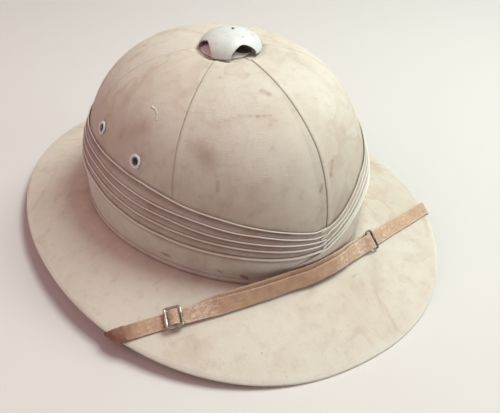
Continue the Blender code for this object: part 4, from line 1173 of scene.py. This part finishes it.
def brim_normal(point):
    """Which way the brim's upper side faces there."""
    step = 2 * MM
    slope_x = (brim_height(point.x + step, point.y) - brim_height(point.x - step, point.y)) / (2 * step)
    slope_y = (brim_height(point.x, point.y + step) - brim_height(point.x, point.y - step)) / (2 * step)
    return Vector((-slope_x, -slope_y, 1)).normalized()


class Station:
    """A cross-section of the strap: the middle of its lower face, its three directions, its thickness."""

    def __init__(self, point, ahead, sideways, normal, thickness=STRAP_THICKNESS):
        self.point, self.ahead, self.sideways, self.normal = point, ahead, sideways, normal
        self.thickness = thickness

    def moved(self, sideways=0.0, normal=0.0, ahead=0.0, thickness=None):
        point = self.point + (self.sideways * sideways + self.normal * normal + self.ahead * ahead)
        return Station(point, self.ahead, self.sideways, self.normal, thickness or self.thickness)

    def back(self):
        """The same cross-section, for a strap that goes the other way."""
        return Station(self.point, -self.ahead, -self.sideways, self.normal, self.thickness)

    def spun(self, spin, point):
        return Station(point, spin @ self.ahead, spin @ self.sideways, spin @ self.normal, self.thickness)

    def laid(self, point, normal, way, share):
        """The next cross-section, at a point of a surface, cut part or all of the way along a rim."""
        ahead = (point - self.point).normalized()
        normal = (normal - ahead * normal.dot(ahead)).normalized()
        square = normal.cross(ahead)
        slant = (way - normal * way.dot(normal)).normalized()
        slant = slant * (1 if slant.dot(square) > 0 else -1)
        cut_way = square.lerp(slant, share)
        return Station(point, ahead, cut_way / cut_way.dot(square), normal, self.thickness)

    def matrix(self):
        turned = Matrix((self.ahead, self.sideways, self.normal)).transposed().to_4x4()
        return Matrix.Translation(self.point) @ turned


def lower_layer(x):
    """How far the lower strap lies under the upper one, and how far it shows above it."""
    layer = smooth((x - BUCKLE_X + LAYERS_START) / LAYERS_RISE) * (1 - smooth((x - KEEPER_X) / LAYERS_FALL))
    rows = np.array(STRAP_LINE)
    return STRAP_LAYER * layer, float(np.interp(x / MM, rows[:, 0], rows[:, 4])) * MM


def clearance(station):
    """How far the strap and the layer under it must rise and move out to clear the brim and the band."""
    layer, offset = lower_layer(station.point.x)
    under = station.moved(sideways=offset, normal=-layer)
    rise, push = 0.0, 0.0
    for share in (-0.5, -0.25, 0, 0.25, 0.5):
        place = under.point + under.sideways * (share * STRAP_WIDTH)
        angle, across = brim_place(place.x, place.y)
        root = crown_oval(angle, 0)
        span = brim_edge(angle) - root
        rise = max(rise, brim_top(angle, max(across, 0)).z + STRAP_AIR - place.z)
        height = max(place.z - root_height(angle), 0)
        stand = HEM_STAND if height < HEM_HEIGHT * 1.5 else BAND_FOOT_STAND + GAP
        band = crown_oval(angle, stand - strap_press(angle), height / (CROWN_TOP - root_height(angle))) - root
        push = max(push, band.length + STRAP_AIR - across * span.length)
    return span.normalized(), push, rise


def strap_line():
    """Cross-sections of the strap's way over the brim, from the wearer's right to the left."""
    edge = []
    for x, y, lean, lift, _ in spline(STRAP_LINE, STRAP_SAMPLES):
        x, y = x * MM, y * MM
        edge.append((Vector((x, y, brim_height(x, y) + lift * MM)), radians(lean)))
    laid = []
    for i, (point, lean) in enumerate(edge):
        before, after = edge[max(i - 3, 0)][0], edge[min(i + 3, len(edge) - 1)][0]
        ahead = (after - before).normalized()
        flat = brim_normal(point).cross(ahead).normalized()
        sideways = flat * cos(lean) + ahead.cross(flat) * sin(lean)
        laid.append(Station(point + sideways * (STRAP_WIDTH / 2), ahead, sideways, ahead.cross(sideways)))
    ways, pushes, rises = zip(*(clearance(station) for station in laid))
    reach = STRAP_EVENING // 2
    window = np.hanning(STRAP_EVENING + 2)[1:-1]
    for amounts in (pushes, rises):
        highest = [max(amounts[max(i - reach, 0) : i + reach + 1]) for i in range(len(laid))]
        evened = np.convolve(np.pad(highest, reach, "edge"), window / window.sum(), "valid")
        for station, way, amount in zip(laid, ways, evened):
            station.point += placed(way * amount, 0) if amounts is pushes else Vector((0, 0, amount))
    return laid


def wrapped(start, axis, radius, turn, steps):
    """Stations carried round an edge that runs along axis, through turn radians."""
    drift = start.ahead.dot(axis) / sqrt(1 - start.ahead.dot(axis) ** 2)
    middle = start.point - start.normal * radius
    out = []
    for step in range(1, steps + 1):
        angle = turn * step / steps
        spin = Matrix.Rotation(angle, 3, axis)
        point = middle + spin @ (start.normal * radius) + axis * drift * abs(radius * angle)
        out.append(start.spun(spin, point))
    return out


def inside_crown(plan, depth):
    """Whether a plan point is this far inside the foot of the crown's outer wall."""
    inset = CROWN_TUCK + depth
    y = plan.y - CROWN_MIDDLE_Y
    fullness = CROWN_FRONT_FULLNESS if y < 0 else CROWN_BACK_FULLNESS
    across = abs(plan.x) / (CROWN_WIDTH / 2 - inset)
    return across**fullness + (abs(y) / (CROWN_LENGTH / 2 - inset)) ** fullness < 1


def along_rim(curve, angle):
    """Direction of a curve round the hat at an angle."""
    return (curve(angle + 0.02) - curve(angle - 0.02)).normalized()


def strap_tail(start):
    """From a station that looks off the hat: over its edge, back under the brim and up inside the crown."""
    step = 0.5 * MM
    length = 0.0
    while brim_place(*(start.point + start.ahead * length).xy)[1] < STRAP_EDGE_SHARE:
        length += step
    rim_angle = brim_place(*(start.point + start.ahead * length).xy)[0]
    rim_way = along_rim(lambda a: brim_top(a, 1), rim_angle)
    run = []
    before = start
    run_steps = 9
    for i in range(1, run_steps + 1):
        share = i / run_steps
        plan = start.point + start.ahead * (length * share)
        height = brim_height(plan.x, plan.y) + STRAP_AIR + STRAP_EDGE_LIFT * smooth(share * 2)
        before = before.laid(placed(plan.xy, height), brim_normal(plan), rim_way, smooth(share))
        run.append(before)
    axis = rim_way if rim_way.dot(run[-1].sideways) > 0 else -rim_way
    run += wrapped(run[-1], axis, STRAP_EDGE_RADIUS, STRAP_EDGE_TURN, 16)

    under = run[-1]
    heading = under.ahead.xy.normalized()
    length = 0.0
    while not inside_crown(under.point.xy + heading * length, CROWN_THICKNESS + STRAP_WALL_GAP):
        length += step
    wall_angle = brim_place(*(under.point.xy + heading * length))[0]
    wall_way = along_rim(lambda a: placed(crown_oval(a, 0), 0), wall_angle)
    wall_way = wall_way if wall_way.dot(rim_way) > 0 else -wall_way
    before = under
    under_steps = 24
    for i in range(1, under_steps + 1):
        share = i / under_steps
        plan = under.point.xy + heading * (length * share)
        angle, across = brim_place(*plan)
        height = brim_top(angle, max(across, 0)).z - BRIM_THICKNESS - STRAP_UNDER_GAP
        normal = -brim_normal(placed(plan, 0))
        before = before.laid(placed(plan, height), normal, rim_way.lerp(wall_way, share), 1.0)
        run.append(before)

    axis = wall_way if wall_way.dot(run[-1].sideways) > 0 else -wall_way
    run += wrapped(run[-1], axis, STRAP_CORNER_RADIUS, STRAP_WALL_TURN, 8)
    corner = run[-1]
    square = corner.normal.cross(corner.ahead).normalized()
    corner = Station(corner.point, corner.ahead, square, corner.normal)
    return run + [corner.moved(ahead=ANCHOR_REACH * v) for v in np.linspace(0.15, 1, 14)]


def folded_end(start, clear, over, tail):
    """The pared end of a strap folded round a bar: over it and back below, or under it and back above."""
    radius = clear if over else -(clear + STRAP_END_THICKNESS)
    axis = start.sideways if over else -start.sideways
    run = wrapped(start, axis, radius, pi * 0.97, 12)
    return run + [run[-1].moved(ahead=tail * v) for v in (0.4, 0.8, 1)]


def strap_outline(thickness, along):
    """The strap's section: (across, height) round it. The edges are burnished, and nicked here and there."""
    half = STRAP_WIDTH / 2
    round_by = min(STRAP_ROUND, thickness * 0.42)
    nick = 0.07 * MM * sin(along * 900 + 1) * sin(along * 310) + 0.05 * MM * sin(along * 2300)
    out = []
    for sign, top in ((1, 0), (1, 1), (-1, 1), (-1, 0)):
        first = {(1, 0): -90, (1, 1): 0, (-1, 1): 90, (-1, 0): 180}[sign, top]
        for i in range(4):
            turn = radians(first + 30 * i)
            across = sign * (half - round_by + nick * sign) + round_by * cos(turn)
            out.append((across, (thickness - round_by if top else round_by) + round_by * sin(turn)))
        if sign == 1 and top:
            out += [(half * v, thickness * (1.02 - 0.02 * v * v)) for v in (0.6, 0.3, 0, -0.3, -0.6)]
    return out + [(half * v, 0.0) for v in (-0.5, 0, 0.5)]


def leather_finish(name):
    """Dry tan leather: mottled, cracked along its length, scuffed pale, and darkened towards its end."""
    made, shader, place = new_finish(name, Roughness=0.55, Specular_IOR_Level=0.35)
    hide = place.attribute("hide", "Vector")
    scuffed, darkened = place.attribute("scuffed"), place.attribute("darkened")
    mottle = place.noise(140, 4, 0.6)
    patch = hide.stretched(330, 480).noise(1, 5, 0.72, 0.2)
    cracks = hide.stretched(1900, 240).noise(1, 3, 0.6, 0.4)
    streaks = hide.stretched(60, 900).noise(1, 3, 0.6)
    pores = place.noise(2400, 2)
    side = hide.part(1).maths("ABSOLUTE")
    rim = side.fade(STRAP_WIDTH / 2 - 0.8 * MM, STRAP_WIDTH / 2 - 0.45 * MM)
    flank = side.fade(STRAP_WIDTH / 2 - 0.12 * MM, STRAP_WIDTH / 2)
    shade = mottle.fade(0.36, 0.68, 0, 0.8).tint(LEATHER, [v * 0.8 for v in LEATHER])
    shade = streaks.fade(0.5, 0.75, 0, 0.35).tint(shade, LEATHER_DARK)
    shade = (cracks.fade(0.6, 0.72, 0, 0.6) * (scuffed * 0.7 + 0.3)).tint(shade, LEATHER_DARK)
    white = (patch + scuffed * 0.2 + rim * 0.06).fade(0.64, 0.72) * cracks.fade(0.32, 0.5, 0.3, 0.95)
    shade = (white * (scuffed * 0.6 + 0.3)).tint(shade, LEATHER_SCUFF)
    shade = (rim * mottle.fade(0.3, 0.6, 0.25, 0.65)).tint(shade, [v * 0.95 for v in LEATHER_SCUFF])
    shade = (flank * 0.75).tint(shade, LEATHER_DARK)
    shade = (darkened * mottle.fade(0.25, 0.6, 0.75, 1)).tint(shade, LEATHER_END)
    shade.feed(shader, "Base Color")
    (white * 0.25 + mottle * 0.2 + 0.42).feed(shader, "Roughness")
    (pores * 0.5 + cracks * 1.2 + white * 0.6 + mottle * 2.0).bump(0.16 * MM).feed(shader, "Normal")
    return made


def add_strap(name, stations, finish):
    """The leather along its stations, with notes of its length and width and of its wear there."""
    points, hide, wear = [], [], []
    along = 0.0
    wear_at, scuffs, darks = np.array(STRAP_WEAR).T
    for i, station in enumerate(stations):
        along += (station.point - stations[max(i - 1, 0)].point).length
        outline = strap_outline(station.thickness, along)
        x = station.point.x / MM
        hidden = station.normal.z < 0
        for across, height in outline:
            points.append(station.point + station.sideways * across + station.normal * height)
            hide.append((along, across, 0))
            wear.append((0.35 if hidden else np.interp(x, wear_at, scuffs), np.interp(x, wear_at, darks)))
    made = add_mesh(name, points, tube_faces(len(stations), len(outline)), [finish], 60)
    note(made, "hide", hide)
    note(made, "scuffed", [v for v, _ in wear])
    note(made, "darkened", [v for _, v in wear])
    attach(made, "root")
    return made


line = strap_line()
travel = np.cumsum([0.0] + [(b.point - a.point).length for a, b in zip(line, line[1:])])


def travel_to(x):
    """Distance along the line of the sample of it that is nearest to an x."""
    return travel[min(range(len(line)), key=lambda i: abs(line[i].point.x - x))]


def line_at(mark):
    """The cross-section at a distance along the line, between the two nearest samples of it."""
    i = min(int(np.searchsorted(travel, mark, "right")) - 1, len(line) - 2)
    share = (mark - travel[i]) / (travel[i + 1] - travel[i])
    a, b = line[i], line[i + 1]
    ahead, sideways = (getattr(a, k).lerp(getattr(b, k), share).normalized() for k in ("ahead", "sideways"))
    return Station(a.point.lerp(b.point, share), ahead, sideways, ahead.cross(sideways).normalized())


def pared(share):
    """The strap's thickness where this share of the paring is done."""
    return STRAP_THICKNESS - share * (STRAP_THICKNESS - STRAP_END_THICKNESS)


leather = leather_finish("strap_leather")
buckle_at, keeper_at = travel_to(BUCKLE_X), travel_to(KEEPER_X)
buckle_place, keeper_place = line_at(buckle_at), line_at(keeper_at)
bar_back = KEEPER_LENGTH / 2 - KEEPER_WIRE
keeper_height = STRAP_END_THICKNESS + KEEPER_WIRE + 2 * GAP
over_height = keeper_height + KEEPER_WIRE + GAP
upper_end = keeper_at - bar_back
upper = []
for mark in np.linspace(0, upper_end, ceil(upper_end / STRAP_STEP)):
    near = (BUCKLE_HUMP_REACH - abs(mark - buckle_at)) / (BUCKLE_HUMP_REACH - BUCKLE_HUMP_FLAT)
    climb = smooth((mark - upper_end + UPPER_CLIMBS_FROM) / UPPER_CLIMB)
    high = BUCKLE_HUMP * smooth(near) + climb * over_height
    thickness = pared(smooth((mark - upper_end + UPPER_PARED_FROM) / STRAP_PARING))
    upper.append(line_at(mark).moved(normal=high, thickness=thickness))
upper[-1] = keeper_place.moved(ahead=-bar_back, normal=over_height, thickness=STRAP_END_THICKNESS)
upper += folded_end(upper[-1], KEEPER_WIRE + GAP, True, UPPER_FOLD)
right_tail = strap_tail(line[0].back())
strap_right = add_strap("strap_right_leather", [s.back() for s in reversed(right_tail)] + upper, leather)

bar_height = BUCKLE_HEIGHT - BUCKLE_BAR_DROP
under_height = bar_height - BUCKLE_BAR - GAP - STRAP_END_THICKNESS
under_bar = buckle_place.moved(normal=under_height, thickness=STRAP_END_THICKNESS)
lower = [s.back() for s in reversed(folded_end(under_bar.back(), BUCKLE_BAR + GAP, False, LOWER_FOLD))]
lower.append(under_bar)
lower_start = buckle_at + LOWER_START
for mark in np.linspace(lower_start, travel[-1], ceil((travel[-1] - lower_start) / STRAP_STEP)):
    here = line_at(mark)
    layer, offset = lower_layer(here.point.x)
    thickness = pared(1 - smooth((mark - lower_start) / STRAP_PARING))
    lower.append(here.moved(sideways=offset, normal=-layer, thickness=thickness))
left_tail = strap_tail(lower[-1])
strap_left = add_strap("strap_left_leather", lower + left_tail, leather)

# Studs: a steel stud with a domed head at each side inside the crown. Its shank goes through the strap's end
# and into the wall, and its head holds the leather down.
STUD_HEAD_RADIUS = 3.2 * MM
STUD_HEAD = 1 * MM
STUD_SHANK_RADIUS = 1.4 * MM
STUD_SHANK = 5 * MM
STUD_SIDES = 40
stud_top = STRAP_THICKNESS + GAP
dome_turns = np.linspace(0.02, pi / 2, 9)
stud_outline = [
    (STUD_HEAD_RADIUS * sin(t), stud_top + STUD_HEAD * (0.25 + 0.75 * cos(t))) for t in dome_turns
]
stud_outline += [(STUD_HEAD_RADIUS * 0.98, stud_top), (STUD_SHANK_RADIUS, stud_top)]
stud_outline += [(STUD_SHANK_RADIUS, stud_top - STUD_SHANK), (POLE, stud_top - STUD_SHANK)]
depth = STUD_SHANK - stud_top + GAP
stud_peg, peg_faces = peg(STUD_SHANK_RADIUS + GAP, -depth, depth, STUD_SIDES)
for side, strap, tail in (("right", strap_right, right_tail), ("left", strap_left, left_tail)):
    place = tail[-1].moved(ahead=-ANCHOR_FROM_END).matrix()
    stud = add_turned(f"strap_stud_{side}_head", stud_outline, STUD_SIDES, steel, 40)
    stud.matrix_world = place
    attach(stud, "root")
    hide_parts(f"strap_stud_{side}")
    hole = [place @ Vector(p) for p in stud_peg]
    punch(strap, hole, peg_faces)
    punch(crown, hole, peg_faces)
    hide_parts(f"strap_{side}")

# Buckle: a sliding buckle of nickel-plated wire, bent to a rounded rectangle. Its middle bar is bent down
# below the frame, and the lower strap's end is folded round it.
NICKEL = (0.60, 0.575, 0.53)
NICKEL_DULL = (0.25, 0.21, 0.17)
WIRE_FULLNESS = 0.8  # below 1, so that the wire's section is a little squarer than round


def wire_loop(length, width, wire, corner, sides, corner_steps):
    """A rounded rectangle of wire in its own XY plane: length along X, width along Y."""
    points = []
    for quarter in range(4):
        x = (1, -1, -1, 1)[quarter] * (length / 2 - wire - corner)
        y = (1, 1, -1, -1)[quarter] * (width / 2 - wire - corner)
        for i in range(corner_steps + 1):
            turn = pi / 2 * (quarter + i / corner_steps)
            outward = Vector((cos(turn), sin(turn), 0))
            for angle in full_turn(sides):
                reach, rise = (wire * signed_power(v, WIRE_FULLNESS) for v in (cos(angle), sin(angle)))
                points.append(Vector((x, y, 0)) + outward * (corner + reach) + Vector((0, 0, rise)))
    return points, net_faces(4 * (corner_steps + 1), sides)


def dropped_bar(half_width, drop, radius, sides):
    """A bar along Y whose bent-up ends reach the rails of a buckle."""
    bend = drop * 0.45
    path = [(-half_width, 0.0, 0.0)]
    for turn in np.linspace(0, pi / 2, 8):
        path.append((-half_width + bend * (1 - cos(turn)), -drop + bend * (1 - sin(turn)), turn))
    path += [(-y, z, pi - t) for y, z, t in reversed(path)]
    points = []
    for y, z, t in path:
        for angle in full_turn(sides):
            reach = radius * cos(angle)
            points.append((radius * sin(angle), y - cos(t) * reach, z - sin(t) * reach))
    return points, tube_faces(len(path), sides)


nickel = metal_finish("worn_nickel", NICKEL, NICKEL_DULL, 0.28)
loop_points, loop_faces = wire_loop(BUCKLE_LENGTH, BUCKLE_WIDTH, BUCKLE_WIRE, 0.9 * MM, 16, 8)
bar_points, bar_faces = dropped_bar(BUCKLE_WIDTH / 2 - BUCKLE_WIRE, BUCKLE_BAR_DROP, BUCKLE_BAR, 16)
loop_faces += [tuple(len(loop_points) + v for v in face) for face in bar_faces]
buckle = add_mesh("buckle_nickel", loop_points + bar_points, loop_faces, [nickel], 50)
buckle.matrix_world = buckle_place.moved(normal=BUCKLE_HEIGHT).matrix()
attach(buckle, "root")
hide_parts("buckle")

# Keeper: a narrow loop of browned steel wire, which the upper strap's end is folded round and the lower
# strap slides through.
KEEPER_WIDTH = 13.2 * MM
keeper_points, keeper_faces = wire_loop(KEEPER_LENGTH, KEEPER_WIDTH, KEEPER_WIRE, 1 * MM, 16, 8)
keeper = add_mesh("keeper_wire", keeper_points, keeper_faces, [steel], 50)
keeper.matrix_world = keeper_place.moved(normal=keeper_height).matrix()
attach(keeper, "root")
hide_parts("keeper")

# Floor, light and camera: a pale floor under a soft window high on the wearer's left, a weaker light lower
# and further to the front of it, and a warm glow off a wall on the wearer's right.
floor_finish, floor_shader, _ = new_finish("pale_floor", Roughness=0.9, Specular_IOR_Level=0.2)
floor_shader.inputs["Base Color"].default_value = (0.78, 0.76, 0.73, 1)
floor = add_mesh("floor", [(-3, -3, 0), (3, -3, 0), (3, 3, 0), (-3, 3, 0)], [(0, 1, 2, 3)], [floor_finish])

CAMERA_PLACE = Vector((-193.83, -334.00, 291.21)) * MM
CAMERA_RIGHT = Vector((0.84480, -0.53412, 0.03211))
CAMERA_UP = Vector((0.30077, 0.52364, 0.79708))
camera = bpy.data.objects.new("camera", bpy.data.cameras.new("camera"))
camera.data.sensor_width = 36
camera.data.lens = 46.92
camera.matrix_world = Matrix.Translation(CAMERA_PLACE) @ Matrix(
    (CAMERA_RIGHT, CAMERA_UP, CAMERA_RIGHT.cross(CAMERA_UP))
).transposed().to_4x4()
bpy.context.scene.collection.objects.link(camera)
bpy.context.scene.camera = camera


def add_light(name, direction, distance, size, power, colour):
    """A round soft light that faces the hat: distance and size in metres, power in watts."""
    lamp = bpy.data.lights.new(name, "AREA")
    lamp.shape, lamp.size, lamp.energy, lamp.color = "DISK", size, power, colour
    made = bpy.data.objects.new(name, lamp)
    middle = Vector((0, 0, 50 * MM))
    way = Vector(direction).normalized()
    made.location = middle + way * distance
    made.rotation_mode = "QUATERNION"
    made.rotation_quaternion = way.to_track_quat("Z", "Y")
    bpy.context.scene.collection.objects.link(made)


add_light("window", (0.43, -0.12, 0.89), 1.2, 0.7, 13.2, (0.9, 1, 0.94))
add_light("right", (0.75, -0.6, 0.28), 1.2, 0.8, 2.8, (0.95, 1, 0.97))
add_light("warm_wall", (-0.7, 0.1, 0.7), 1.2, 0.8, 2.6, (1, 0.48, 0.46))
world = bpy.data.worlds.new("studio")
world.use_nodes = True
world.node_tree.nodes["Background"].inputs["Color"].default_value = (1, 0.8, 0.82, 1)
world.node_tree.nodes["Background"].inputs["Strength"].default_value = 0.25
bpy.context.scene.world = world
bpy.context.scene.view_settings.view_transform = "Standard"
